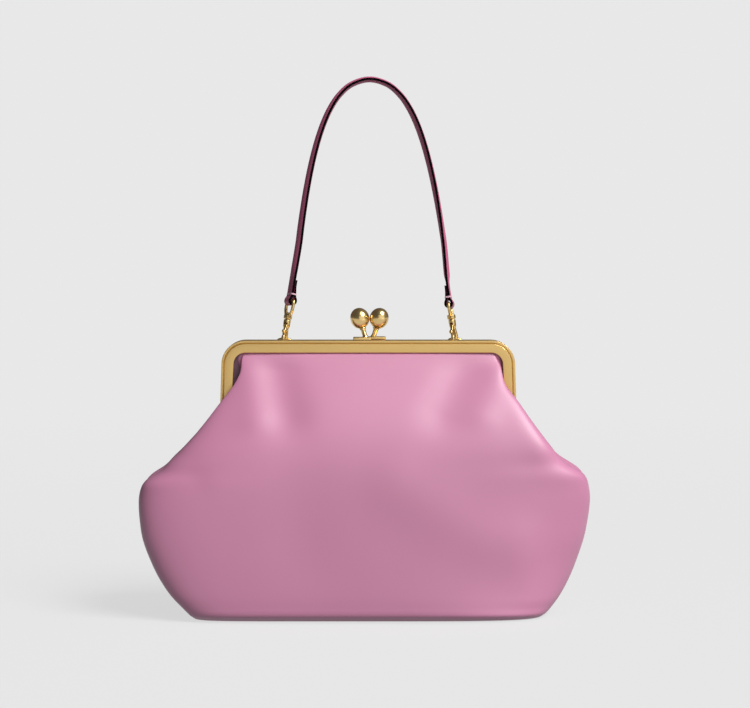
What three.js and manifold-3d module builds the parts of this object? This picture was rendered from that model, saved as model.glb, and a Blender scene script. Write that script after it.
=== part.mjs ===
// A kiss lock clutch bag: two leather panels in a metal purse frame, a strap on two swivel snap hooks.
// Millimetres, +Z up, +X to the right and the front towards -Y. The bag stands on z = 0.

import * as THREE from 'three';
import { mergeVertices } from 'three/addons/utils/BufferGeometryUtils.js';
import Module from 'manifold-3d';

const wasm = await Module();
wasm.setup();

// Driving sizes

const CLEARANCE = 0.3;

const FRAME = {
  top: 187.6,
  band: 8.4,
  innerHalfWidth: 92,
  innerCornerRadius: 8,
  depth: 6.6,
  wall: 1.4,
  slotDepth: 5.2,
  rimHeight: 1.4,
  rimSetBack: 0.15,
  grooveWidth: 1,
  groovePoint: 0.4,
  grooveDepth: 0.9,
  splayDeg: 2,
  legLength: 40,
};

const HINGE = {
  z: 126.5,
  lugRadius: 4.6,
  lugThickness: 1.5,
  frontLugX: 98.4,
  neckNear: 1,
  neckFar: 5.6,
  neckBottom: 2.2,
  neckTop: 8.5,
  pinRadius: 1.2,
  headRadius: 2.4,
  headHeight: 1.1,
};

const CLASP = {
  centreX: 0.8,
  ballRadius: 6.38,
  ballStretch: 1.12,
  ballOffset: 6.6,
  ballZ: 202.5,
  stemFootX: 2.7,
  stemFootDepth: 3.3,
  plateLength: 11.1,
  plateOverlap: 1.2,
  plateDepth: 5.4,
  plateHeight: 2,
  stemRadius: 1.6,
  collarRadius: 2.2,
  collarBelowBall: 0.8,
};

const LEATHER = {
  wall: 1.8,
  slotFace: 4.5,
  tightestTurn: 0.02,
};

const LOOP = {
  wireRadius: 1.1,
  halfSpan: 4.4,
  standOff: 12.8,
  barZ: 187.4,
  footZ: 183.2,
  footInFrame: 6.1,
};

const HOOK = {
  leanBackDeg: 8,
  bendRadius: 3.4,
  wireRadius: 1.3,
  columnRadius: 2.5,
  columnBottom: 7.2,
  columnTop: 13.9,
  studRadius: 1.1,
  headRadius: 1.8,
  tipZ: 2,
  pivotX: -0.9,
  pivotZ: 9.8,
  pivotHoleRadius: 0.9,
};

const GATE = {
  thickness: 1.8,
  halfWidth: 0.9,
  eyeRadius: 1.2,
  pinRadius: 0.6,
  pinHalfLength: 1.7,
  bottomZ: 2.7,
  shoulderZ: 6,
  nubRadius: 1.4,
  nubZ: 5.2,
};

const EYE = {
  wireRadius: 1.15,
  halfSpan: 6.3,
  collarRadius: 2.9,
  collarHeight: 3,
  boreRadius: 1.4,
};

const STRAP = {
  width: 9,
  thickness: 1.7,
  crown: 1.2,
  foldRadius: 2.3,
  armFoot: 13,
  top: 368,
  archScaleX: 16,
  archScaleZ: 10.7,
  archReach: 3.15,
  archSway: 1.3,
};

// The two strap ends: where each hook hangs, how far above it the eye's bar stands, how it leans, how it
// and its eye are turned, and the length of the strap's tail above the bar.
const ENDS = {
  left: { sign: -1, loopX: -58.2, reach: 27, leanInDeg: 9.2, hookTurnDeg: 12, eyeTurnDeg: 24, tail: 14.6 },
  right: { sign: 1, loopX: 59.9, reach: 24.8, leanInDeg: 8.8, hookTurnDeg: 24, eyeTurnDeg: 9, tail: 12.8 },
};

// How far the strap's outer face is turned to the front, along its arch from left to right.
const STRAP_TWIST = [
  { along: 0, deg: ENDS.left.eyeTurnDeg },
  { along: 0.2, deg: 20 },
  { along: 0.36, deg: 14 },
  { along: 0.5, deg: -2 },
  { along: 0.66, deg: -14 },
  { along: 0.84, deg: -9 },
  { along: 1, deg: ENDS.right.eyeTurnDeg },
];

// Sections of a leather panel from the frame down to the base seam.
// z is the height at the sides and rise what the middle adds to it. left and right are the half widths
// of the outline, front the distance of the middle from the bag's centre plane, lobe the same distance
// at the widest point. From there the leather runs back to a seat, tuck inside the outline and rear
// from the centre plane, turns through turn degrees and ends after reach. The powers square each side.
const SECTION_COLUMNS = [
  'z', 'rise', 'left', 'right', 'front', 'lobe', 'tuck', 'rear', 'turn', 'reach', 'leftPower', 'rightPower',
];
const SECTIONS = [
  [181.4, 0, 84, 84, 4.5, 4.5, -0.2, 4.5, 180, 0.2, 2, 2],
  [180, 0, 85, 85, 4.5, 4.5, -2.5, 4.5, 180, 1.4, 2, 2],
  [178.2, 0, 85.4, 86, 6.2, 5, -4, 4.5, 180, 1.9, 2, 2.4],
  [174, 0, 86.4, 88, 8.8, 7, -3, 4.5, 180, 3.5, 2, 3],
  [168, 0, 86.8, 90.8, 12.6, 9.6, -0.8, 4.6, 180, 5.2, 2, 5],
  [160, 0, 90, 92.4, 17.8, 13, 1, 7.6, 180, 4.6, 2, 6],
  [147, 0, 99.8, 101.8, 26.4, 16.5, 11.1, 8.4, 180, 4.4, 2, 6.6],
  [135, 0, 108.9, 110.1, 33.2, 19.5, 19.4, 8.4, 180, 3.5, 2.2, 6.4],
  [122, 0, 119.6, 119.8, 38.8, 20.5, 29.2, 8, 165, 2.2, 2.6, 5.6],
  [115, 0, 126.3, 125.5, 40.9, 20, 32, 3.6, 70, 1.5, 3, 4.4],
  [109, 0, 132, 129.2, 42.3, 18, 24, 0.15, 0, 1.2, 3.3, 3.6],
  [102, 0, 138, 140, 43.5, 12, 12, 0.15, 0, 1, 3.7, 3.1],
  [96, 0, 147.4, 147.8, 44.3, 6, 4.6, 0.5, 20, 0.6, 4.2, 2.9],
  [90, 0, 154, 150.6, 44.9, 3, 0.6, 1, 90, 0.85, 4.8, 2.8],
  [80, 0, 156, 151.9, 45.7, 1.8, 0.1, 1, 90, 0.85, 5.6, 2.7],
  [60, 0, 154.2, 149.8, 46.7, 1.8, 0.1, 1, 90, 0.85, 7, 2.6],
  [36, 0, 145.8, 142.9, 47.4, 1.8, 0.1, 1, 90, 0.85, 8, 2.5],
  [18, 0, 135.1, 134.8, 47.5, 1.8, 0.1, 1, 90, 0.85, 8.6, 2.7],
  [8, 0.8, 126.3, 128, 47.3, 1.8, 0.1, 1, 90, 0.85, 9, 3.1],
  [2.4, 1.5, 121.6, 122.8, 45.4, 1.8, 0.1, 1, 90, 0.85, 9, 3.8],
  [0, 0, 118.2, 118.4, 38, 1.8, 0.1, 1, 90, 0.85, 8, 4.2],
  [0, 0, 109, 107, 18, 1.4, 0.1, 0.8, 90, 0.65, 5, 4],
  [0, 0, 102, 101, 0.15, 0.15, -0.1, 0.15, 180, 0.4, 3, 3],
].map((row) => Object.fromEntries(SECTION_COLUMNS.map((name, i) => [name, row[i]])));

// Soft folds of the panels, each along a line in the front view. A positive depth stands proud.
const FOLDS = [
  { name: 'left valley', x1: -66, z1: 176, x2: -55, z2: 138, depth: -3, width: 14 },
  { name: 'left ridge', x1: -86, z1: 172, x2: -78, z2: 138, depth: 1.4, width: 11 },
  { name: 'left sag', x1: -53, z1: 112, x2: -46, z2: 48, depth: -0.7, width: 22 },
  { name: 'right valley', x1: 66, z1: 172, x2: 50, z2: 140, depth: -1.7, width: 14 },
  { name: 'right ridge', x1: 92, z1: 170, x2: 78, z2: 140, depth: 1.2, width: 12 },
  { name: 'right shoulder', x1: 100, z1: 160, x2: 124, z2: 120, depth: 3, width: 12 },
  { name: 'low ridge', x1: 22, z1: 92, x2: 96, z2: 44, depth: 1.3, width: 20 },
  { name: 'right hip', x1: 120, z1: 113, x2: 146, z2: 100, depth: 1.8, width: 10 },
  { name: 'left hip', x1: -118, z1: 94, x2: -147, z2: 82, depth: -1.2, width: 11 },
  { name: 'low right ridge', x1: 104, z1: 56, x2: 116, z2: 10, depth: 1.2, width: 16 },
];

// The section's front distance, and the height above the base, at which the folds reach full depth.
const FOLD_FADE = { belowFrame: 14, aboveBase: 14 };

const PANEL_STEPS = { edge: 4, back: 4, front: 14 };

const radians = THREE.MathUtils.degToRad;
const vector = (x, y, z) => new THREE.Vector3(x, y, z);

// Materials

const gold = new THREE.MeshStandardMaterial({ color: 0xc9a565, roughness: 0.35, metalness: 1 });
const pinkLeather = new THREE.MeshStandardMaterial({ color: 0xd99bb8, roughness: 0.55, metalness: 0 });
const strapLeather = new THREE.MeshStandardMaterial({ color: 0xb9748f, roughness: 0.5, metalness: 0 });

// Closed meshes

function signedVolume(vertices, triangles) {
  let total = 0;
  for (let i = 0; i < triangles.length; i += 3) {
    const [a, b, c] = [vertices[triangles[i]], vertices[triangles[i + 1]], vertices[triangles[i + 2]]];
    total += a.dot(b.clone().cross(c)) / 6;
  }
  return total;
}

// A geometry of vertices and triangle corners, turned so that its faces point out.
function closedGeometry(vertices, triangles) {
  const corners = signedVolume(vertices, triangles) < 0 ? triangles.slice().reverse() : triangles;
  const geometry = new THREE.BufferGeometry();
  geometry.setFromPoints(vertices);
  geometry.setIndex(corners);
  return geometry;
}

// The solid that a closed outline sweeps through stations, each a point with two directions.
// A station may have an outline of its own, with as many points.
function sweep(stations, outline) {
  const sides = outline.length;
  const vertices = stations.flatMap(({ point, across, up, own = outline }) =>
    own.map(([a, b]) => point.clone().addScaledVector(across, a).addScaledVector(up, b)));
  const triangles = [];
  for (let i = 0; i + 1 < stations.length; i += 1) {
    for (let j = 0; j < sides; j += 1) {
      const next = (j + 1) % sides;
      const [a, b] = [i * sides + j, i * sides + next];
      triangles.push(a, b, b + sides, a, b + sides, a + sides);
    }
  }
  const cap = THREE.ShapeUtils.triangulateShape(outline.map(([a, b]) => new THREE.Vector2(a, b)), []);
  const last = (stations.length - 1) * sides;
  for (const [a, b, c] of cap) {
    triangles.push(c, b, a, last + a, last + b, last + c);
  }
  return closedGeometry(vertices, triangles);
}

function circle(radius, sides) {
  return Array.from({ length: sides }, (_, i) => {
    const angle = (2 * Math.PI * i) / sides;
    return [radius * Math.cos(angle), radius * Math.sin(angle)];
  });
}

// A round rod along a smooth curve through points.
function rod(points, radius, steps, sides = 10) {
  const curve = new THREE.CatmullRomCurve3(points, false, 'centripetal');
  const frames = curve.computeFrenetFrames(steps, false);
  const stations = frames.tangents.map((_, i) => ({
    point: curve.getPointAt(i / steps),
    across: frames.normals[i],
    up: frames.binormals[i],
  }));
  return sweep(stations, circle(radius, sides));
}

// The wall between an outer and an inner grid of points with the same rows and columns.
function walled(outer, inner) {
  const rows = outer.length;
  const columns = outer[0].length;
  const vertices = [...outer.flat(), ...inner.flat()];
  const offset = rows * columns;
  const at = (i, j) => i * columns + j;
  const triangles = [];
  const quad = (a, b, c, d) => triangles.push(a, b, c, a, c, d);
  for (let i = 0; i + 1 < rows; i += 1) {
    for (let j = 0; j + 1 < columns; j += 1) {
      const [a, b, c, d] = [at(i, j), at(i, j + 1), at(i + 1, j + 1), at(i + 1, j)];
      quad(a, b, c, d);
      quad(d + offset, c + offset, b + offset, a + offset);
    }
  }
  const border = [];
  for (let j = 0; j + 1 < columns; j += 1) border.push(at(0, j));
  for (let i = 0; i + 1 < rows; i += 1) border.push(at(i, columns - 1));
  for (let j = columns - 1; j > 0; j -= 1) border.push(at(rows - 1, j));
  for (let i = rows - 1; i > 0; i -= 1) border.push(at(i, 0));
  border.forEach((a, k) => {
    const b = border[(k + 1) % border.length];
    quad(b, a, a + offset, b + offset);
  });
  return closedGeometry(vertices, triangles);
}

// The same piece on the other side of the bag's centre plane.
function mirrored(geometry) {
  const copy = geometry.clone().applyMatrix4(new THREE.Matrix4().makeScale(1, -1, 1));
  copy.setIndex(Array.from(copy.index.array).reverse());
  return copy;
}

function toSolid(geometry) {
  const bare = geometry.clone();
  bare.deleteAttribute('normal');
  bare.deleteAttribute('uv');
  const merged = mergeVertices(bare, 1e-4);
  return new wasm.Manifold(new wasm.Mesh({
    numProp: 3,
    vertProperties: new Float32Array(merged.attributes.position.array),
    triVerts: new Uint32Array(merged.index.array),
  }));
}

function toGeometry(solid) {
  const { vertProperties, triVerts } = solid.getMesh();
  const geometry = new THREE.BufferGeometry();
  geometry.setAttribute('position', new THREE.BufferAttribute(new Float32Array(vertProperties), 3));
  geometry.setIndex(Array.from(triVerts));
  return geometry;
}

function joined(first, ...others) {
  return toGeometry(others.reduce((sum, other) => sum.add(toSolid(other)), toSolid(first)));
}

function cut(first, ...tools) {
  return toGeometry(tools.reduce((rest, tool) => rest.subtract(toSolid(tool)), toSolid(first)));
}

function box(x1, x2, y1, y2, z1, z2) {
  return new THREE.BoxGeometry(x2 - x1, y2 - y1, z2 - z1)
    .translate((x1 + x2) / 2, (y1 + y2) / 2, (z1 + z2) / 2);
}

// A turned shape along +Z from pairs of radius and height.
function turned(profile, segments = 20) {
  const points = profile.map(([radius, height]) => new THREE.Vector2(radius, height));
  return new THREE.LatheGeometry(points, segments).rotateX(Math.PI / 2);
}

function mesh(name, geometry, material) {
  const piece = new THREE.Mesh(geometry, material);
  piece.name = name;
  return piece;
}

// Purse frame

// The channel's outline: distance out from the frame's inner edge, distance from the centre plane.
function channelOutline() {
  const near = CLEARANCE / 2;
  const far = near + FRAME.depth;
  const slotNear = near + FRAME.wall;
  const slotFar = far - FRAME.wall;
  const lip = 0.4;
  const rim = far - FRAME.rimSetBack;
  const rimFoot = FRAME.band - FRAME.rimHeight;
  const groove = [
    [rimFoot - FRAME.groovePoint, far - FRAME.grooveDepth], [rimFoot - FRAME.grooveWidth, far],
  ];
  return [
    [0, near], [FRAME.band, near], [FRAME.band, rim], [rimFoot, rim], ...groove, [lip, far], [0, far - lip],
    [0, slotFar], [FRAME.slotDepth, slotFar], [FRAME.slotDepth, slotNear], [0, slotNear],
  ];
}

// Points along the frame's inner edge, from the left foot over the top to the right foot.
function framePath() {
  const cornerSteps = 7;
  const radius = FRAME.innerCornerRadius;
  const centreX = FRAME.innerHalfWidth - radius;
  const centreZ = FRAME.top - FRAME.band - radius;
  const front = vector(0, -1, 0);
  const right = [];
  for (let step = 0; step <= cornerSteps; step += 1) {
    const angle = THREE.MathUtils.lerp(Math.PI / 2, radians(FRAME.splayDeg), step / cornerSteps);
    const across = vector(Math.cos(angle), 0, Math.sin(angle));
    const point = vector(centreX, 0, centreZ).addScaledVector(across, radius);
    right.push({ point, across, up: front });
  }
  const { point, across } = right.at(-1);
  const down = vector(across.z, 0, -across.x);
  right.push({ point: point.clone().addScaledVector(down, FRAME.legLength), across, up: front });
  const flip = vector(-1, 1, 1);
  const left = right.map((station) => ({
    point: station.point.clone().multiply(flip),
    across: station.across.clone().multiply(flip),
    up: front,
  }));
  return [...left.reverse(), ...right];
}

// A flat lug at a frame foot, from x1 to x2, with the pin's hole. It reaches up into the leg at +y or -y.
function hingeLug(x1, x2, side) {
  const outline = new THREE.Shape();
  outline.absarc(0, 0, HINGE.lugRadius, 0, 2 * Math.PI);
  const pinHole = new THREE.Path();
  pinHole.absarc(0, 0, HINGE.pinRadius + CLEARANCE, 0, 2 * Math.PI, true);
  outline.holes.push(pinHole);
  const disc = new THREE.ExtrudeGeometry(outline, { depth: x2 - x1, bevelEnabled: false, curveSegments: 10 });
  disc.rotateX(Math.PI / 2).rotateZ(Math.PI / 2).translate(x1, 0, HINGE.z);
  const [y1, y2] = [side * HINGE.neckNear, side * HINGE.neckFar].sort((a, b) => a - b);
  const neck = box(x1, x2, y1, y2, HINGE.z + HINGE.neckBottom, HINGE.z + HINGE.neckTop);
  return joined(disc, neck);
}

// The x range of a half's lugs on the right foot. The back half's lug lies outside the front half's.
function lugRange(half) {
  const start = half === 'front' ? HINGE.frontLugX : HINGE.frontLugX + HINGE.lugThickness + CLEARANCE;
  return [start, start + HINGE.lugThickness];
}

// A staple on the back half's rear face, which a hook hangs on.
function strapLoop(loopX) {
  const { halfSpan, standOff, barZ, footZ, footInFrame } = LOOP;
  const half = [
    vector(halfSpan, footInFrame, footZ),
    vector(halfSpan, standOff - 2.4, footZ),
    vector(halfSpan, standOff - 0.4, footZ + 0.8),
    vector(halfSpan, standOff, footZ + 2.4),
    vector(halfSpan - 0.5, standOff, barZ - 0.6),
    vector(halfSpan - 1.8, standOff, barZ),
  ];
  const other = half.map(({ x, y, z }) => vector(-x, y, z)).reverse();
  return rod([...half, ...other], LOOP.wireRadius, 26, 8).translate(loopX, 0, 0);
}

function frameHalf(half) {
  const channel = sweep(framePath(), channelOutline());
  const placed = half === 'front' ? channel : mirrored(channel);
  const [x1, x2] = lugRange(half);
  const side = half === 'front' ? -1 : 1;
  const lugs = [hingeLug(x1, x2, side), hingeLug(-x2, -x1, side)];
  const loops = half === 'back' ? Object.values(ENDS).map((end) => strapLoop(end.loopX)) : [];
  return joined(placed, ...lugs, ...loops);
}

function hingeRivet(sign) {
  const inner = lugRange('front')[0] - CLEARANCE;
  const outer = lugRange('back')[1] + CLEARANCE;
  const profile = [
    [0, inner - HINGE.headHeight], [HINGE.headRadius, inner - HINGE.headHeight], [HINGE.headRadius, inner],
    [HINGE.pinRadius, inner], [HINGE.pinRadius, outer],
    [HINGE.headRadius, outer], [HINGE.headRadius, outer + HINGE.headHeight], [0, outer + HINGE.headHeight],
  ];
  return turned(profile, 16).rotateY((sign * Math.PI) / 2).translate(0, 0, HINGE.z);
}

// Kiss lock

// One half of the clasp: a saddle plate on the frame's top and a ball on a leaning stem.
function claspHalf(sign) {
  const plateBottom = FRAME.top + CLEARANCE;
  const plateTop = plateBottom + CLASP.plateHeight;
  const ends = [CLASP.centreX - sign * CLASP.plateOverlap, CLASP.centreX + sign * CLASP.plateLength];
  const [x1, x2] = ends.sort((a, b) => a - b);
  const middle = sign * CLASP.stemFootDepth;
  const halfDepth = CLASP.plateDepth / 2;
  const plate = box(x1, x2, middle - halfDepth, middle + halfDepth, plateBottom, plateTop);
  const ball = vector(CLASP.centreX + sign * CLASP.ballOffset, 0, CLASP.ballZ);
  const foot = vector(CLASP.centreX + sign * CLASP.stemFootX, middle, plateTop - 0.6);
  const axis = ball.clone().sub(foot);
  const length = axis.length();
  const { stemRadius, collarRadius } = CLASP;
  const ballReach = CLASP.ballRadius * CLASP.ballStretch;
  const collarBottom = length - ballReach - CLASP.collarBelowBall;
  const neckAngle = Math.asin(stemRadius / CLASP.ballRadius);
  const arcSteps = 10;
  const sphere = Array.from({ length: arcSteps + 1 }, (_, i) => {
    const angle = THREE.MathUtils.lerp(neckAngle, Math.PI, i / arcSteps);
    const radius = i === arcSteps ? 0 : CLASP.ballRadius * Math.sin(angle);
    return [radius, length - ballReach * Math.cos(angle)];
  });
  const profile = [
    [0, 0], [stemRadius, 0], [stemRadius, collarBottom], [collarRadius, collarBottom + 0.4],
    [collarRadius, collarBottom + 1], ...sphere,
  ];
  const upright = vector(0, 0, 1);
  const turn = new THREE.Quaternion().setFromUnitVectors(upright, axis.normalize());
  const knob = turned(profile, 20).applyQuaternion(turn).translate(foot.x, foot.y, foot.z);
  return joined(plate, knob);
}

// Leather panels

// How far the folds move the front of a panel at x and z in the front view.
function foldOffset(x, z) {
  return FOLDS.reduce((sum, fold) => {
    const along = vector(fold.x2 - fold.x1, 0, fold.z2 - fold.z1);
    const from = vector(x - fold.x1, 0, z - fold.z1);
    const share = THREE.MathUtils.clamp(from.dot(along) / along.lengthSq(), 0, 1);
    const distance = from.addScaledVector(along, -share).length();
    return sum + fold.depth * Math.exp(-((distance / fold.width) ** 2));
  }, 0);
}

// The folds fade out where the frame holds the leather and where the base rests.
function foldShare(row) {
  const clearOfFrame = THREE.MathUtils.smoothstep(row.front, LEATHER.slotFace, FOLD_FADE.belowFrame);
  return clearOfFrame * THREE.MathUtils.smoothstep(row.z, 0, FOLD_FADE.aboveBase);
}

// Half of one section, from the held or sewn edge to the middle of the front, on the front panel.
function halfSection(row, sign) {
  const [side, power] = sign < 0 ? [row.left, row.leftPower] : [row.right, row.rightPower];
  const seat = side - row.tuck;
  const turn = radians(row.turn);
  const radius = Math.max((row.rear - LEATHER.slotFace) / 2, LEATHER.tightestTurn);
  const points = [];
  const add = (x, depth, height) => points.push(vector(sign * x, -depth, height));
  const edgePoint = (distance) => {
    const angle = Math.min(distance / radius, turn);
    const straight = distance - radius * angle;
    return [
      seat - radius * Math.sin(angle) - straight * Math.cos(angle),
      row.rear - radius * (1 - Math.cos(angle)) - straight * Math.sin(angle),
    ];
  };
  const edgeLength = radius * turn + row.reach;
  for (let i = PANEL_STEPS.edge; i > 0; i -= 1) {
    add(...edgePoint((edgeLength * i) / PANEL_STEPS.edge), row.z);
  }
  for (let i = PANEL_STEPS.back; i > 0; i -= 1) {
    const angle = (Math.PI / 2) * (i / PANEL_STEPS.back);
    add(seat + row.tuck * Math.cos(angle), row.lobe - (row.lobe - row.rear) * Math.sin(angle), row.z);
  }
  for (let i = 0; i <= PANEL_STEPS.front; i += 1) {
    const angle = (Math.PI / 2) * (i / PANEL_STEPS.front);
    const [cosine, sine] = [Math.abs(Math.cos(angle)), Math.sin(angle)];
    const ray = (cosine ** power + sine ** power) ** (-1 / power);
    const x = side * ray * cosine;
    const swell = ray * sine;
    const height = row.z + row.rise * swell;
    const fold = foldOffset(sign * x, height) * foldShare(row);
    add(x, row.lobe + (row.front - row.lobe + fold) * swell, height);
  }
  return points;
}

function frontPanel() {
  const outer = SECTIONS.map((row) => {
    const right = halfSection(row, 1).slice(0, -1);
    return [...halfSection(row, -1), ...right.reverse()];
  });
  const rows = outer.length;
  const columns = outer[0].length;
  const inner = outer.map((line, i) => line.map((point, j) => {
    const downward = outer[Math.min(i + 1, rows - 1)][j].clone().sub(outer[Math.max(i - 1, 0)][j]);
    const rightward = line[Math.min(j + 1, columns - 1)].clone().sub(line[Math.max(j - 1, 0)]);
    const inward = downward.cross(rightward).normalize();
    return point.clone().addScaledVector(inward, -LEATHER.wall);
  }));
  return walled(outer, inner);
}

// Strap hardware

// A group at a loop's bar whose +Z runs up the hook's axis to the eye's bar.
function endGroup(end) {
  const inward = -end.sign * Math.tan(radians(end.leanInDeg));
  const axis = vector(inward, Math.tan(radians(HOOK.leanBackDeg)), 1).normalize();
  const across = vector(1, 0, 0).addScaledVector(axis, -axis.x).normalize();
  const back = axis.clone().cross(across);
  const group = new THREE.Group();
  group.position.set(end.loopX, LOOP.standOff, LOOP.barZ);
  group.quaternion.setFromRotationMatrix(new THREE.Matrix4().makeBasis(across, back, axis));
  return { group, axis, across, back };
}

// The hook's body in its own plane: column, bent wire round the loop, stud and head for the eye.
function snapHook() {
  const { bendRadius, columnRadius, columnBottom, columnTop, studRadius, headRadius, pivotX, pivotZ } = HOOK;
  const bendSteps = 6;
  const bend = Array.from({ length: bendSteps + 1 }, (_, i) => {
    const angle = -Math.PI * (i / bendSteps);
    return vector(bendRadius * Math.cos(angle), 0, bendRadius * Math.sin(angle));
  });
  const tip = vector(-bendRadius, 0, HOOK.tipZ);
  const spine = [
    vector(1, 0, columnBottom + 2.4), vector(2.2, 0, columnBottom - 1), vector(3.2, 0, bendRadius),
  ];
  const wire = rod([...spine, ...bend, tip], HOOK.wireRadius, 28, 8);
  const headBottom = columnTop + EYE.collarHeight + 2 * CLEARANCE;
  const column = turned([
    [0, columnBottom], [1.7, columnBottom], [columnRadius - 0.1, columnBottom + 2.4],
    [columnRadius, columnTop - 0.6], [columnRadius - 0.5, columnTop],
    [studRadius, columnTop], [studRadius, headBottom], [headRadius, headBottom],
    [headRadius - 0.2, headBottom + 0.8], [headRadius - 1, headBottom + 1.3], [0, headBottom + 1.4],
  ], 16);
  const slotHalf = GATE.thickness / 2 + CLEARANCE;
  const slotEnd = pivotX + GATE.eyeRadius + 2 * CLEARANCE;
  const slotTop = pivotZ + GATE.eyeRadius + 2 * CLEARANCE;
  const slotBottom = HOOK.tipZ + bendRadius;
  const slot = box(-2 * columnRadius, slotEnd, -slotHalf, slotHalf, slotBottom, slotTop);
  const pinHole = crossPin(HOOK.pivotHoleRadius, 2 * columnRadius);
  return cut(joined(column, wire), slot, pinHole);
}

// A cylinder along the gate's pivot.
function crossPin(radius, halfLength) {
  const profile = [[0, -halfLength], [radius, -halfLength], [radius, halfLength], [0, halfLength]];
  return turned(profile, 12).rotateX(Math.PI / 2).translate(HOOK.pivotX, 0, HOOK.pivotZ);
}

// The lever that closes the hook, with its pin and the thumb nub.
function hookGate() {
  const { pivotX, pivotZ, bendRadius } = HOOK;
  const { thickness, halfWidth, eyeRadius, bottomZ, shoulderZ } = GATE;
  const outline = new THREE.Shape();
  outline.moveTo(pivotX + eyeRadius, pivotZ);
  outline.absarc(pivotX, pivotZ, eyeRadius, 0, Math.PI);
  outline.lineTo(-bendRadius - halfWidth, shoulderZ);
  outline.lineTo(-bendRadius - halfWidth, bottomZ);
  outline.lineTo(-bendRadius + halfWidth, bottomZ);
  outline.lineTo(-bendRadius + eyeRadius, shoulderZ - halfWidth);
  const settings = { depth: thickness, bevelEnabled: false, curveSegments: 6 };
  const plate = new THREE.ExtrudeGeometry(outline, settings);
  plate.rotateX(Math.PI / 2).translate(0, thickness / 2, 0);
  const nub = new THREE.SphereGeometry(GATE.nubRadius, 12, 8);
  nub.translate(-bendRadius - GATE.nubRadius, 0, GATE.nubZ);
  return joined(plate, crossPin(GATE.pinRadius, GATE.pinHalfLength), nub);
}

// The stirrup that the strap folds round, with the collar that the hook's stud turns in.
function swivelEye(barZ) {
  const { halfSpan, wireRadius, collarRadius, collarHeight, boreRadius } = EYE;
  const bottom = HOOK.columnTop + CLEARANCE;
  const top = bottom + collarHeight;
  const collar = turned([
    [boreRadius, bottom], [collarRadius - 0.3, bottom], [collarRadius, bottom + 0.5],
    [collarRadius, top - 0.5], [collarRadius - 0.3, top], [boreRadius, top], [boreRadius, bottom],
  ], 14);
  const half = [
    vector(2.2, 0, bottom + collarHeight / 2),
    vector(3.6, 0, bottom + collarHeight / 2 + 0.8),
    vector(5.2, 0, top + 1.6),
    vector(halfSpan, 0, top + 4),
    vector(halfSpan - 0.15, 0, barZ - 1),
    vector(halfSpan - 1, 0, barZ - 0.05),
    vector(halfSpan - 2, 0, barZ),
  ];
  const other = half.map(({ x, y, z }) => vector(-x, y, z)).reverse();
  return joined(collar, rod([...half, vector(0, 0, barZ), ...other], wireRadius, 34, 8));
}

// Strap

function twistAt(along) {
  const last = STRAP_TWIST.findIndex((row, i) => i > 0 && along <= row.along);
  const [from, to] = [STRAP_TWIST[last - 1], STRAP_TWIST[last]];
  const share = THREE.MathUtils.smoothstep(along, from.along, to.along);
  return radians(THREE.MathUtils.lerp(from.deg, to.deg, share));
}

// Points and width directions of one folded end, from the tail's tip round the eye's bar and up the arm.
function foldedEnd(end) {
  const { group, axis, across, back } = endGroup(end);
  const bar = group.position.clone().addScaledVector(axis, end.reach);
  const turn = radians(end.eyeTurnDeg);
  const side = across.clone().multiplyScalar(end.sign);
  const outward = side.clone().multiplyScalar(Math.cos(turn)).addScaledVector(back, -Math.sin(turn));
  const width = side.clone().multiplyScalar(Math.sin(turn)).addScaledVector(back, Math.cos(turn));
  const at = (offset, up) => ({
    point: bar.clone().addScaledVector(outward, offset).addScaledVector(axis, up),
    width,
  });
  const parted = (STRAP.thickness + CLEARANCE) / 2;
  const easing = 0.25;
  const pinch = [
    [STRAP.foldRadius - easing, 1.3], [parted + easing, 2.9], [parted, 4], [parted, 7],
  ];
  const foldSteps = 8;
  const fold = Array.from({ length: foldSteps + 1 }, (_, i) => {
    const angle = -Math.PI + (Math.PI * i) / foldSteps;
    return at(STRAP.foldRadius * Math.cos(angle), STRAP.foldRadius * Math.sin(angle));
  });
  const tail = [...pinch, [parted, end.tail]].reverse().map(([offset, up]) => at(-offset, up));
  const arm = [...pinch, [parted, STRAP.armFoot]].map(([offset, up]) => at(offset, up));
  return [...tail, ...fold, ...arm];
}

// The arch between the two ends, an inverted catenary in a plane that leans back.
function strapArch(bar) {
  const steps = 26;
  const lean = Math.tan(radians(HOOK.leanBackDeg));
  return Array.from({ length: steps + 1 }, (_, i) => {
    const share = (2 * i) / steps - 1;
    const reach = Math.asinh(share * Math.sinh(STRAP.archReach));
    const drop = STRAP.archScaleZ * (Math.cosh(reach) - 1);
    const wholeDrop = STRAP.archScaleZ * (Math.cosh(STRAP.archReach) - 1);
    const x = CLASP.centreX + STRAP.archScaleX * reach + (STRAP.archSway * drop) / wholeDrop;
    const z = STRAP.top - drop;
    const slope = (-STRAP.archScaleZ * Math.sinh(reach)) / STRAP.archScaleX;
    const outward = vector(-slope, 0, 1).normalize();
    const turn = twistAt((share + 1) / 2);
    const width = vector(0, Math.cos(turn), 0).addScaledVector(outward, Math.sin(turn));
    return { point: vector(x, bar.y + (z - bar.z) * lean, z), width, domed: true };
  });
}

// The strap's section, with faces that stand proud of the edges by crown.
function strapOutline(crown) {
  const half = STRAP.thickness / 2;
  const side = STRAP.width / 2;
  const crowned = half + crown;
  return [
    [half, -side], [crowned, -side / 2], [crowned, side / 2], [half, side],
    [-half, side], [-crowned, side / 2], [-crowned, -side / 2], [-half, -side],
  ];
}

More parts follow.
